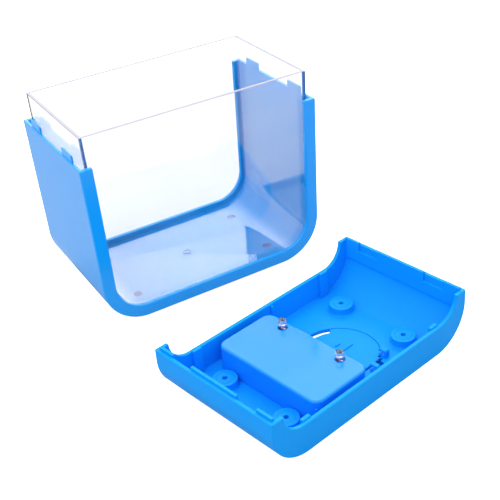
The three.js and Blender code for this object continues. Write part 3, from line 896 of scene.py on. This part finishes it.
@dataclass
class Tank:
    """The clear tank, whose floor bends up into its two ends."""

    half: float = 70.5
    depth: float = 41.05
    floor: float = 2.6
    top: float = 123.6
    wall: float = 2.0
    radius: float = 22.5
    edge: float = 0.8
    rim: float = 0.35
    inner_edge: float = 0.4
    painted_rim_line_depth: float = 0.25
    gate: float = 2.4
    gate_thick: float = 0.24
    gate_rise: float = 0.1
    seam_steps: int = 7
    bend_steps: int = 30

    def bag(self, shrink: float, radius: float, edge: float, levels: np.ndarray,
            ease: np.ndarray) -> np.ndarray:
        """Level rings of an open bag bent from a U and two flat faces with rounded seams.

        At height z over the bag's floor, a seam point at angle a lies e (1 - cos a) inside the U and
        at y = Y - e + e sin a; its x is half - R + sqrt((R - depth inside)^2 - (R - z)^2) below the
        bend's top, and half less its depth above it. Below z = e the seam stops where it meets z.

        Args:
            shrink: how far this bag lies inside the tank's outer faces.
            radius: the bend's radius.
            edge: the seams' radius.
            levels: heights over the bag's floor.
            ease: how far each ring is drawn in.

        Returns:
            (m, n, 3) rings.
        """
        low = np.clip(levels, 0, edge)
        last = np.arccos(np.clip(1 - low / edge, -1, 1))
        angle = last[:, None] * np.linspace(0, 1, self.seam_steps)
        inside = edge * (1 - np.cos(angle))
        y = self.depth - shrink - ease[:, None] - edge + edge * np.sin(angle)
        drop = np.clip(radius - levels, 0, None)[:, None]
        reach = np.sqrt(np.clip((radius - inside) ** 2 - drop ** 2, 0, None))
        x = self.half - shrink - ease[:, None] - radius + reach
        right = np.concatenate([x[:, ::-1], x], 1)
        across = np.concatenate([y[:, ::-1], -y], 1)
        ring_x = np.concatenate([right, -right], 1)
        ring_y = np.concatenate([across, -across], 1)
        z = np.broadcast_to((self.floor + shrink + levels)[:, None], ring_x.shape)
        return np.stack([ring_x, ring_y, z], -1)

    def heights(self, radius: float, full: float) -> tuple[np.ndarray, np.ndarray]:
        """Levels R (1 - cos a) up the bend, then h - e + e sin b up the rim, which draws in by e (1 - cos b).

        Args:
            radius: the bend's radius R.
            full: height h of the bag.

        Returns:
            Heights over the bag's floor, and how far each ring is drawn in.
        """
        bend = radius * (1 - np.cos(np.linspace(0, QUARTER, self.bend_steps)))
        turn = np.linspace(0, QUARTER, 4)
        levels = np.concatenate([bend, full - self.rim + self.rim * np.sin(turn)])
        return levels, np.concatenate([np.zeros(len(bend)), self.rim * (1 - np.cos(turn))])

    def shells(self) -> list[Shell]:
        """The outer bag from its floor up, round the rim, and down the inner bag.

        Returns:
            One closed shell.
        """
        outer_levels, outer_ease = self.heights(self.radius, self.top - self.floor)
        inner_levels, inner_ease = self.heights(self.radius - self.wall, self.top - self.floor - self.wall)
        outer = self.bag(0, self.radius, self.edge, outer_levels, outer_ease)
        inner = self.bag(self.wall, self.radius - self.wall, self.inner_edge, inner_levels, -inner_ease)
        return [loft(np.concatenate([outer, inner[::-1]])).splayed(self.floor + self.radius)]

    def build(self) -> None:
        """Builds the tank, a painted pale lavender-grey line of light and shade on the top of its rim, and
        the ring that the moulding gate left on its floor.
        """
        tank = piece("tank_shell", self.shells(), BASE_PLACE, Seat("tank", "clear_plastic", ("clear_tank",)),
                     Finish.CLEAR.get())
        mesh = tank.data
        # The rim's top faces get the painted lavender-grey line of light and shade along the glass edge.
        mesh.materials.append(Finish.RIM.get())
        centers = np.zeros(len(mesh.polygons) * 3)
        mesh.polygons.foreach_get("center", centers)
        high = centers[2::3] > (BASE_PLACE.z + self.top - self.painted_rim_line_depth) * MM
        mesh.polygons.foreach_set("material_index", high.astype(np.int32))
        piece("gate_ring", [self.gate_ring()], BASE_PLACE, Seat("tank", "clear_plastic"), Finish.GATE.get())

    def gate_ring(self) -> Shell:
        """A torus: (R + r cos b) round +Z at r sin b over the floor, for each angle b of its own circle.

        Returns:
            The closed ring.
        """
        around = np.linspace(0, tau, 40, endpoint=False)[:, None]
        own = np.linspace(0, tau, 10, endpoint=False)
        reach = self.gate + self.gate_thick * np.cos(own)
        level = self.floor + self.wall + self.gate_rise + self.gate_thick * np.sin(own)
        rings = np.stack(np.broadcast_arrays(reach * np.cos(around), reach * np.sin(around), level), -1)
        return loft(rings, capped=False)


# ---------------------------------------------------------------- lid

LID_PLACE = Place(0.0, -64.12, 0.0, LID_TURN)
HATCH_X, HATCH_Y = 14.0, -4.0  # middle of the feeding hatch
HINGE_Y, HINGE_Z = -24.0, 1.25  # the hatch's hinge, along X
PIN, STUB = 1.05, 0.7  # radii of its bar and of the stubs at the bar's ends
DOOR_SCREW = (-21.0, 19.4)
COVER_SCREWS = ((-33.0, 31.5), (-4.5, 31.5))
SCREW_SINK = [(3.5, -0.6), (1.4, 1.5), (1.4, 2.7)]  # profile of a screw's countersunk hole
LAMP_X, LAMP_Y = -3.5, 21.5


@dataclass
class LidShell:
    """The lid lying on its outer face, in its own frame: a channel with a window in each long skirt."""

    height: float = 32.0
    skirt: float = 18.6
    skin: float = 2.3
    wall: float = 2.5
    radius: float = 24.0
    window: float = 13.4
    tongue: float = 1.5
    tongue_rise: float = 1.5
    ledge: float = 27.6
    boss_x: float = 46.5
    boss_y: float = 23.5
    band_low: float = 20.0
    bore: float = 1.5
    mouth: float = 0.9
    clip_half: float = 2.6
    hatch_hole: float = 24.0
    bay_hole: tuple[float, float, float, float] = (-36.8, -5.2, -34.8, 23.8)
    switch_hole: tuple[float, float, float, float] = (-23.9, -16.1, 27.6, 30.8)
    switch_dish: tuple[float, float, float, float] = (-28.0, -12.0, 25.8, 32.6)
    clips: tuple[tuple[float, float, float], ...] = ((27.6, 30.8, HINGE_Y), (14.2, 17.0, -29.5))

    def lips(self, course: Course) -> np.ndarray:
        """How high the skirts stand at each station.

        The window is bounded by a circle of radius r about (53.4, 32) and the line z = 18.6. Beside the
        wall the lip is 75 less the circle's x. Round the bend, with w from the bend's centre to the
        circle's and d the way outwards, the lip is R less d.w + sqrt((d.w)^2 + r^2 - w^2), or less
        the way down to the line where that comes first.

        Args:
            course: the lid's line.

        Returns:
            (m,) lip heights.
        """
        point, normal, _ = course.stations()
        center_x = WIDTH / 2 - 8.2 - self.window
        x, z = np.abs(point[:, 0]), point[:, 1]
        rise = np.clip(self.height - z, 0, self.window)
        chord = np.sqrt(self.window ** 2 - np.minimum(rise, self.height - self.radius) ** 2)
        beside = WIDTH / 2 - center_x - chord
        way = np.stack([np.abs(normal[:, 0]), -normal[:, 1]], -1)
        to_center = np.array([center_x - (WIDTH / 2 - self.radius), self.height - self.radius])
        dot = way @ to_center
        round_reach = dot + np.sqrt(dot ** 2 + self.window ** 2 - to_center @ to_center)
        down = np.where(normal[:, 1] > 1e-6, (self.radius - self.skirt) / np.maximum(normal[:, 1], 1e-6), 1e6)
        straight = down * way[:, 0] < to_center[0]
        bend = self.radius - np.where(straight, down, round_reach)
        lip = np.where(z >= self.radius - 1e-9, beside, bend)
        return np.where(x <= WIDTH / 2 - self.radius + 1e-9, self.skirt, lip)

    def band(self, side: int) -> Shell:
        """The thicker band inside an end wall and its three tongues, as one outline proud of the wall.

        Args:
            side: 1 for the wall at +X, -1 for the other.

        Returns:
            The closed band.
        """
        rim, top = DEPTH / 2 - self.wall + 0.2, self.height + self.tongue_rise
        half = np.array([[rim, self.band_low], [rim, top], [TAB_TO, top], [TAB_TO, self.ledge],
                         [TAB_FROM, self.ledge], [TAB_FROM, top]])
        outline = np.vstack([half, half[::-1] * np.array([-1, 1])])
        return plate(outline, -0.25, self.tongue, 0.0, 0.3).stood(-side, side * (WIDTH / 2 - self.skin))

    def boss(self) -> Shell:
        """A blind boss: a fillet at its foot, a round top edge, a shallow ring and a hole."""
        foot = [(8.3, 2.25), (7.75, 2.45), (7.4, 2.9), (7.2, 3.6)]
        top = [(7.2, 6.5), (7.05, 6.85), (6.7, 7.0), (5.1, 7.0), (5.0, 6.85), (4.7, 6.85), (4.6, 7.0)]
        hole = [(1.75, 7.0), (1.5, 6.9), (1.4, 6.7), (1.35, 2.5)]
        return lathe(foot + top + hole, 48)

    def clip(self, x0: float, x1: float, y: float) -> Shell:
        """A C-shaped clip: its outline in (y, z) goes round the bore and out of the mouth.

        Args:
            x0: its left face.
            x1: its right face.
            y: middle of its bore.

        Returns:
            The closed clip.
        """
        half, bore_z = self.clip_half, 4.6
        mouth = np.degrees(np.arcsin(self.mouth / self.bore))
        bore = arc(0, bore_z, self.bore, -mouth, mouth - 360, 22)
        outline = np.vstack([[-half, 2.1], [half, 2.1], [half, bore_z - self.mouth], bore,
                             [half, bore_z + self.mouth], [half, 6.6], [half - 0.6, 7.2], [0.6 - half, 7.2],
                             [-half, 6.6]])
        return plate(outline + np.array([y, 0]), x0, x1, 0.18, 0.18, 2).stood()

    def cutters(self) -> list[Shell]:
        """What the skin loses: hatch, hinge strip and slit, battery door, screw holes and switch slot.

        Returns:
            Closed tools.
        """
        under, above = -1, self.skin + 0.4
        disc = arc(HATCH_X, HATCH_Y, self.hatch_hole, -57.5, 113.84, 60)
        hatch = np.vstack([[4.3, -25.65], [26.9, -25.65], disc])
        slit = [slab(17.3, 24.5, -27.3, -25, under, above, 0.1),
                slab(17.3, 24.5, -28.6, -26, 0.6, above, 0.1)]
        strip = [bar(PIN, 2.7, 31, HINGE_Y, HINGE_Z),
                 slab(25.9, 31, HINGE_Y - 0.8, HINGE_Y + 0.8, HINGE_Z, above, 0.1)]
        screws = [lathe(SCREW_SINK, 32).moved(x, y) for x, y in COVER_SCREWS]
        return [plate(hatch, under, above), *slit, *strip, *screws,
                plate(round_rectangle(*self.bay_hole, 1.4), under, above),
                plate(round_rectangle(*self.switch_hole, 0.8), under, above),
                plate(round_rectangle(*self.switch_dish, 3.3), under, 1, high=0.5)]

    def shells(self) -> list[Shell]:
        """The carved channel with its bands, ribs, bosses, clips and the post on its far skirt.

        Returns:
            The carved channel first, then the parts that stand on it.
        """
        course = Course(WIDTH / 2, self.height, self.radius, bend=40, rise=8, end=0.55)
        body = course.channel(DEPTH / 2, self.wall, self.skin, self.lips(course), (1.0, 0.7, 0.7))
        shells = carved([body], self.cutters())
        reach = DEPTH / 2 - self.wall
        for side in (-1, 1):
            shells.append(self.band(side))
            for end in (-1, 1):
                y0, y1 = sorted((end * (reach + 0.4), end * (reach - 1.9)))
                shells.append(slab(side * 50 - 3, side * 50 + 3, y0, y1, 2.0, 19.5, 0.45))
                shells.append(self.boss().moved(side * self.boss_x, end * self.boss_y))
        shells += [self.clip(*stretch) for stretch in self.clips]
        shells.append(lathe(rounded(0.9, 17.4, 0.5, 2.0), 20).moved(7.5, reach - 0.5))
        return shells

    def build(self) -> None:
        """Builds the lid's shell and hands it to the frame."""
        piece("lid_moulding", self.shells(), LID_PLACE, Seat("lid", "blue_plastic", ("lid_shell",)),
              Finish.SATIN_BLUE.get())


@dataclass
class FeedDoor:
    """The round door in the lid's skin, cut straight along its hinge and beside the battery box."""

    radius: float = 23.6
    thick: float = 2.3
    left: float = 4.7
    right: float = 26.5
    notch: float = 2.1
    nail_from: float = 55.1
    nail_to: float = 79.2
    nail_radius: float = 23.0

    def outline(self) -> np.ndarray:
        """Straight along the hinge and the left, then an arc with a shallower stretch for a fingernail.

        Returns:
            (n, 2) anticlockwise points.
        """
        start = np.degrees(np.arcsin((HINGE_Y + self.notch - HATCH_Y) / self.radius))
        end = np.degrees(np.arccos((self.left - HATCH_X) / self.radius))
        nail = arc(HATCH_X, HATCH_Y, self.nail_radius, self.nail_from + 0.8, self.nail_to - 0.8, 12)
        return np.vstack([[self.left, HINGE_Y], [self.right, HINGE_Y], [self.right, HINGE_Y + self.notch],
                          arc(HATCH_X, HATCH_Y, self.radius, start, self.nail_from, 40), nail,
                          arc(HATCH_X, HATCH_Y, self.radius, self.nail_to, end, 20)])

    def scoop(self) -> Shell:
        """What the fingernail stretch loses: all beyond a cone whose radius grows as z falls.

        Returns:
            The closed tool.
        """
        rings = []
        for z, reach in ((-0.5, 21.9), (0.5, 21.9), (0.51, 21.4), (2.6, 19.6)):
            near = arc(HATCH_X, HATCH_Y, reach, self.nail_to + 8, self.nail_from, 16)
            far = arc(HATCH_X, HATCH_Y, 25.0, self.nail_from, self.nail_to + 8, 16)
            outline = np.vstack([near, far])
            rings.append(np.hstack([outline, np.full((len(outline), 1), z)]))
        return loft(np.array(rings))

    def shells(self) -> list[Shell]:
        """The plate, its hinge bar and stubs, and two fine ridges on its inner face.

        Returns:
            The carved plate first.
        """
        return [*carved([plate(self.outline(), 0, self.thick, 0.25, 0.25)], [self.scoop()]),
                bar(PIN, self.left, self.right, HINGE_Y, HINGE_Z),
                bar(STUB, self.left - 1.45, self.left + 0.5, HINGE_Y, HINGE_Z),
                bar(STUB, self.right - 0.5, self.right + 4.1, HINGE_Y, HINGE_Z),
                slab(17.5, 21, 1.0, 1.9, 2.1, 3.0, 0.2), slab(17.5, 25.5, -4.7, -3.8, 2.1, 3.0, 0.2)]

    def build(self) -> None:
        """Builds the door and hands it to the frame."""
        piece("feeding_hatch", self.shells(), LID_PLACE, Seat("feed_door", "blue_plastic", ("feed_door",)),
              Finish.SATIN_BLUE.get())


@dataclass
class LightBox:
    """The polished cover over the cells and the lamps' board."""

    left: float = -39.0
    right: float = 2.0
    half: float = 38.0
    floor: float = 2.6
    top: float = 18.0
    wall: float = 1.6
    roof: float = 1.7
    corner: float = 6.0
    soft: float = 1.5
    rib_right: float = -5.6
    rib_low: float = 2.95
    rib_top: float = 13.5
    stake_y: float = 10.0

    def shell(self) -> Shell:
        """Rings from the ceiling down the inner wall, round the rim and up the outer wall to the roof.

        A ring is the cover's rectangle inset by a distance, with its corner radius less the same
        distance; the roof's edge insets by e (1 - cos a) while it rises by e sin a.

        Returns:
            The closed cover.
        """
        under = self.top - self.roof
        rows = [(self.wall + 1.0, under), (self.wall + 0.3, under - 0.25), (self.wall, under - 1.0),
                (self.wall, self.floor + 0.3), (self.wall - 0.3, self.floor),
                (0.3, self.floor), (0.0, self.floor + 0.3)]
        rows += [(0.25 + self.soft * (1 - cos(a)), self.top - self.soft + self.soft * sin(a))
                 for a in np.linspace(0, QUARTER, 7)]
        rings = []
        for distance, height in rows:
            flat = round_rectangle(self.left + distance, self.right - distance, distance - self.half,
                                   self.half - distance, max(self.corner - distance, 0.5), 10)
            rings.append(np.hstack([flat, np.full((len(flat), 1), height)]))
        return loft(np.array(rings))

    def shells(self) -> list[Shell]:
        """The cover with its lamp holes, and the bay ribs, screw posts and board stakes under its roof.

        Returns:
            The carved cover first.
        """
        under = self.top - self.roof
        hole = lathe([(2.8, under - 1), (2.8, self.top - 0.3), (3.6, self.top + 0.5)], 40)
        shells = carved([self.shell()], [hole.moved(LAMP_X, end * LAMP_Y) for end in (-1, 1)])
        for y0, y1 in ((15.6, 16.9), (-36.8, -35.0)):
            shells.append(slab(self.left + 1.2, self.rib_right, y0, y1, self.rib_low, self.rib_top, 0.25))
        for (x, y), foot in zip((DOOR_SCREW, *COVER_SCREWS), (self.rib_low, 2.65, 2.65)):
            post = [(1.3, 12.0), (1.3, foot + 0.2), (1.5, foot), (2.55, foot), (2.75, foot + 0.2),
                    (2.75, under + 0.2)]
            shells.append(lathe(post, 32).moved(x, y))
        stake = lathe([(0.5, under - 2.9), (0.8, under - 2.6), (0.8, under + 0.2)], 20)
        return shells + [stake.moved(LAMP_X, end * self.stake_y) for end in (-1, 1)]

    def build(self) -> None:
        """Builds the cover and hands it to the frame."""
        piece("box_cover", self.shells(), LID_PLACE, Seat("lid", "blue_gloss", ("light_box_cover",)),
              Finish.GLOSS_BLUE.get())


@dataclass
class Lamp:
    """A round clear lamp: a domed lens with a flange, and its cup, posts and leads inside."""

    name: str
    y: float
    foot: float = 15.3
    radius: float = 2.5
    length: float = 8.7

    def lens(self) -> Shell:
        """The flange and barrel, then the dome: (r cos a, length - r + r sin a)."""
        dome = [(self.radius * cos(a), self.length - self.radius + self.radius * sin(a))
                for a in np.linspace(0, QUARTER * 0.97, 12)]
        return lathe([(2.75, 0), (2.9, 0.12), (2.9, 0.62), (2.75, 0.72), (2.52, 0.74), *dome], 40)

    def frame_shells(self) -> list[Shell]:
        """A post with a cup on it and a slimmer post beside it, each with a lead below.

        Returns:
            The cup, the two posts and their leads.
        """
        stem = [(0.5, 1.6), (0.55, 3.1), (1.05, 4.3)]
        bowl = [(1.1, 4.5), (0.95, 4.5), (0.45, 3.9), (0.2, 3.85)]
        cup = lathe(stem + bowl, 24)
        wide = slab(-0.55, 0.55, -1.6, 0.35, 0.9, 2.4, 0.15)
        slim = slab(-0.4, 0.4, 0.75, 1.75, 0.9, 3.9, 0.15)
        leads = [slab(-0.25, 0.25, y - 0.25, y + 0.25, -2.8, 1.2, 0.08) for y in (-1.27, 1.27)]
        return [cup, wide, slim, *leads]

    def build(self) -> None:
        """Builds the lens, the lead frame and the chip in its cup."""
        place = (LAMP_X, self.y, self.foot)
        piece(f"lens_{self.name}", [self.lens().moved(*place)], LID_PLACE,
              Seat("lid", "lens", (f"lamp_{self.name}",)), Finish.LENS.get())
        # The lead frame and the chip carry a painted lavender tint that stands for pinkish reflections in the
        # lamp.
        piece(f"lead_frame_{self.name}", [shell.moved(*place) for shell in self.frame_shells()], LID_PLACE,
              Seat("lid", "steel"), Finish.LEAD.get())
        chip = lathe([(0.4, 3.95), (0.42, 4.2), (0.3, 4.3), (0.1, 4.32)], 16).moved(*place)
        piece(f"chip_{self.name}", [chip], LID_PLACE, Seat("lid", "ceramic"), Finish.BULB_CHIP.get())


@dataclass
class BatteryBay:
    """Three cells side by side, their contacts, the door under them and the screws."""

    first_x: float = -31.85
    pitch: float = 10.7
    radius: float = 5.25
    body: float = 43.5
    height: float = 8.25
    near: float = -34.7
    far: float = 15.3
    nub: float = 1.0
    strip: float = 0.5
    spring_turns: int = 4
    spring_wire: float = 0.3

    def cell(self) -> Shell:
        """A cell about +Z from its flat end to its nub, with its length from 0 to 1 kept for the skin.

        Returns:
            The closed cell with its "along" values.
        """
        r, b = self.radius, self.body
        flat_end = [(3.4, 0), (3.6, 0.12), (4.4, 0.12), (r - 0.4, 0.0), (r - 0.1, 0.15), (r, 0.5)]
        shoulder = [(r, b - 0.9), (r - 0.15, b - 0.35), (r - 0.6, b - 0.1), (r - 1.1, b - 0.35)]
        tip = [(2.3, b - 0.35), (1.95, b - 0.2), (1.9, b + self.nub - 0.3), (1.7, b + self.nub)]
        shell = lathe(flat_end + shoulder + tip, 48)
        shell.along = np.clip(shell.points[:, 2] / (b + self.nub), 0, 1)
        return shell

    def spring(self, x: float, y: float, facing: int) -> Shell:
        """A conical coil: radius 3.5 - 1.3 t and rise 0.3 + 3.3 t, for t from 0 to 1 over its turns.

        Args:
            x: its axis across the bay.
            y: where it stands on its strip.
            facing: 1 if it points to the far end, -1 if to the near end.

        Returns:
            The closed coil.
        """
        t = np.linspace(0, 1, 97)
        turn = self.spring_turns * tau * t
        reach = 3.5 - 1.3 * t
        path = np.stack([reach * np.cos(turn), facing * (0.3 + 3.3 * t), reach * np.sin(turn)], -1)
        return tube(path + np.array([x, y, self.height]), np.full(len(t), self.spring_wire), (0, 1, 0), 10)

    def build(self) -> None:
        """Builds cells, contacts, door and screws and hands them to the frame."""
        xs = [self.first_x + k * self.pitch for k in range(3)]
        tip = self.strip + 0.3 + self.body + self.nub
        for k, x in enumerate(xs):
            near_end = k % 2 == 0
            cell = self.cell().tipped("X", 90 if near_end else -90)
            y = self.near + tip if near_end else self.far - tip
            piece(f"cell_{k + 1}", [cell.moved(x, y, self.height)], LID_PLACE,
                  Seat("lid", "cell_skin", (f"battery_cell_{k + 1}",)), Finish.CELL.get())
        rows = [("positive", xs[0], xs[0], [], 1), ("bridge_near", xs[1], xs[2], [xs[1]], 1),
                ("bridge_far", xs[0], xs[1], [xs[0]], -1), ("negative", xs[2], xs[2], [xs[2]], -1)]
        for name, first, last, springs, facing in rows:
            y = self.near if facing > 0 else self.far
            y0, y1 = sorted((y, y + facing * self.strip))
            shells = [slab(first - 3.8, last + 3.8, y0, y1, 3.6, 13.5, 0.2)]
            shells += [self.spring(x, y + facing * 0.3, facing) for x in springs]
            piece(f"strip_{name}", shells, LID_PLACE, Seat("lid", "steel", (f"contact_{name}",)),
                  Finish.STEEL.get())
        self.build_door()

    def screw(self) -> Shell:
        """A countersunk screw, head down: a thread of shallow steps and a cross recess.

        Returns:
            The carved screw.
        """
        thread = [(0.85 + 0.15 * (k % 2), 1.5 + 0.35 * k) for k in range(20)]
        body = lathe([(2.1, 0), (2.3, 0.12), (1.1, 1.15), *thread, (0.4, 9.0)], 32)
        cross = [slab(-1.3, 1.3, -0.28, 0.28, -0.5, 0.7, 0.05), slab(-0.28, 0.28, -1.3, 1.3, -0.5, 0.7, 0.05)]
        return carved([body], cross)[0]

    def build_door(self) -> None:
        """The door has a countersunk hole and a row of grip grooves across its outer face."""
        tools = [lathe(SCREW_SINK, 32).moved(*DOOR_SCREW)]
        tools += [slab(-29, -13, y - 0.5, y + 0.5, -1, 0.55, 0.3) for y in np.arange(-31.0, -21.0, 2.2)]
        door = carved([plate(round_rectangle(-36.4, -5.6, -34.4, 23.4, 1.0), 0, 2.3, 0.3, 0.2)], tools)
        piece("cell_door", door, LID_PLACE, Seat("battery_door", "blue_plastic", ("battery_door",)),
              Finish.BLUE.get())
        screw = self.screw()
        seats = [("cell_door_screw", DOOR_SCREW, "battery_door", "battery_door_screw"),
                 ("box_screw_left", COVER_SCREWS[0], "lid", "cover_screw_left"),
                 ("box_screw_right", COVER_SCREWS[1], "lid", "cover_screw_right")]
        for name, (x, y), body, node in seats:
            piece(name, [screw.moved(x, y, 0.2)], LID_PLACE, Seat(body, "steel", (node,)), Finish.STEEL.get())


# ---------------------------------------------------------------- studio


@dataclass
class Studio:
    """A pale floor, soft light from all round and above, and the camera."""

    azimuth: float = -28.37
    elevation: float = 31.69
    roll: float = -4.85
    distance: float = 547.63
    target: tuple[float, float, float] = (-13.65, -23.81, 60.8)
    lens: float = 72.03
    bright_way: tuple[float, float, float] = (0.6, 0.6, 0.53)
    bright_span: tuple[float, float] = (0.5, 0.95)
    dim_sky: float = 1.0
    bright_sky: float = 2.7
    eye_floor: float = 0.9
    clear_sheet: float = 0.77
    bounce_floor: float = 0.5
    bounces: int = 40
    key_size: float = 0.9
    key_power: float = 5.0
    key_place: tuple[float, float, float] = (-0.7, -0.2, 1.1)
    key_aim: tuple[float, float, float] = (0.0, 0.0, 0.03)

    def floor(self) -> None:
        """A wide sheet: white to the eye, a little less so through the clear tank, grey in reflections."""
        paint = Paint("studio_floor")
        grey = paint.blend(paint.noise(3, 2), (0.80, 0.80, 0.81), (0.82, 0.82, 0.83))
        dim = paint.node("ShaderNodeBsdfDiffuse", None, {"Color": (self.bounce_floor,) * 3})
        clear = paint.node("ShaderNodeBsdfDiffuse", None, {"Color": (self.clear_sheet,) * 3})
        sheet = paint.node("ShaderNodeBsdfDiffuse", None, {"Color": grey})
        light = paint.node("ShaderNodeEmission", None, {"Color": (1, 1, 1), "Strength": self.eye_floor})
        bright = paint.node("ShaderNodeAddShader", None, {0: sheet, 1: light})
        shader = dim
        for ray, seen in (("Is Transmission Ray", clear), ("Is Camera Ray", bright)):
            share = paint.node("ShaderNodeLightPath", output=ray)
            shader = paint.node("ShaderNodeMixShader", None, {0: share, 1: shader, 2: seen})
        material = paint.finish(shader)
        edge = np.linspace(-4, 4, 9)
        x, y = np.meshgrid(edge, edge, indexing="ij")
        points = np.stack([x.ravel(), y.ravel(), np.full(x.size, -0.0002)], -1)
        index = np.arange(x.size).reshape(x.shape)
        quads = np.stack([index[:-1, :-1], index[1:, :-1], index[1:, 1:], index[:-1, 1:]], -1).reshape(-1, 4)
        mesh = bpy.data.meshes.new("floor_sheet")
        mesh.from_pydata(points.tolist(), [], quads.tolist())
        mesh.materials.append(material)
        sheet_object = bpy.data.objects.new("floor_sheet", mesh)
        bpy.context.scene.collection.objects.link(sheet_object)

    def key_light(self) -> None:
        """Hangs a square soft light, in metres and watts, that faces its aim."""
        lamp = bpy.data.lights.new("key_softbox", "AREA")
        lamp.size, lamp.energy = self.key_size, self.key_power
        holder = bpy.data.objects.new("key_softbox", lamp)
        way = Vector(self.key_aim) - Vector(self.key_place)
        turn = way.to_track_quat("-Z", "Y").to_matrix().to_4x4()
        holder.matrix_world = Matrix.Translation(self.key_place) @ turn
        bpy.context.scene.collection.objects.link(holder)

    def sky_light(self) -> None:
        """A white sky, brightest over the back and dimmer towards the front."""
        world = bpy.data.worlds.new("studio_sky")
        world.use_nodes = True
        tree = world.node_tree
        way = tree.nodes.new("ShaderNodeTexCoord")
        facing = tree.nodes.new("ShaderNodeVectorMath")
        facing.operation = "DOT_PRODUCT"
        facing.inputs[1].default_value = Vector(self.bright_way).normalized()
        ramp = tree.nodes.new("ShaderNodeMapRange")
        ramp.interpolation_type = "SMOOTHSTEP"
        for socket, value in zip(ramp.inputs[1:5], (*self.bright_span, self.dim_sky, self.bright_sky)):
            socket.default_value = value
        background = tree.nodes["Background"]
        tree.links.new(way.outputs["Generated"], facing.inputs[0])
        tree.links.new(facing.outputs["Value"], ramp.inputs[0])
        tree.links.new(ramp.outputs[0], background.inputs["Strength"])
        background.inputs["Color"].default_value = (1, 1, 1, 1)
        bpy.context.scene.world = world

    def camera(self) -> None:
        """Looks at the target from an azimuth and an elevation, then rolls about the way it looks."""
        a, e, r = radians(self.azimuth), radians(self.elevation), radians(self.roll)
        back = Vector((sin(a) * cos(e), -cos(a) * cos(e), sin(e)))
        right = (-back).cross(Vector((0, 0, 1))).normalized()
        up = right.cross(-back).normalized()
        side = cos(r) * right + sin(r) * up
        top = -sin(r) * right + cos(r) * up
        turn = Matrix((side, top, back)).transposed().to_4x4()
        camera = bpy.data.cameras.new("view")
        camera.lens, camera.sensor_width, camera.clip_start, camera.clip_end = self.lens, 36, 0.01, 20
        holder = bpy.data.objects.new("view", camera)
        holder.matrix_world = Matrix.Translation((Vector(self.target) + back * self.distance) * MM) @ turn
        bpy.context.scene.collection.objects.link(holder)
        bpy.context.scene.camera = holder

    def build(self) -> None:
        """Sets the camera, the lights and the floor."""
        self.camera()
        self.sky_light()
        self.floor()
        self.key_light()
        scene = bpy.context.scene
        scene.view_settings.view_transform = "Standard"
        for limit in ("max_bounces", "glossy_bounces", "transmission_bounces"):
            setattr(scene.cycles, limit, self.bounces)


def main() -> None:
    """Builds every sub-assembly in order."""
    logging.basicConfig(level=logging.INFO, format="%(name)s %(message)s")
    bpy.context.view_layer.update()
    Studio().build()
    Cradle().build()
    Tank().build()
    LidShell().build()
    FeedDoor().build()
    LightBox().build()
    Lamp("far", LAMP_Y).build()
    Lamp("near", -LAMP_Y).build()
    BatteryBay().build()
    dress(Finish.BOARD.get(), "lamp_board")
    dress(Finish.CERAMIC.get(), "board_resistor")
    dress(Finish.BLACK.get(), "switch_body", "switch_slider")
    dress(Finish.RED_SKIN.get(), "wire_cells_to_switch", "wire_switch_to_board")
    dress(Finish.BLACK_SKIN.get(), "wire_board_to_cells")


if __name__ == "__main__":
    main()
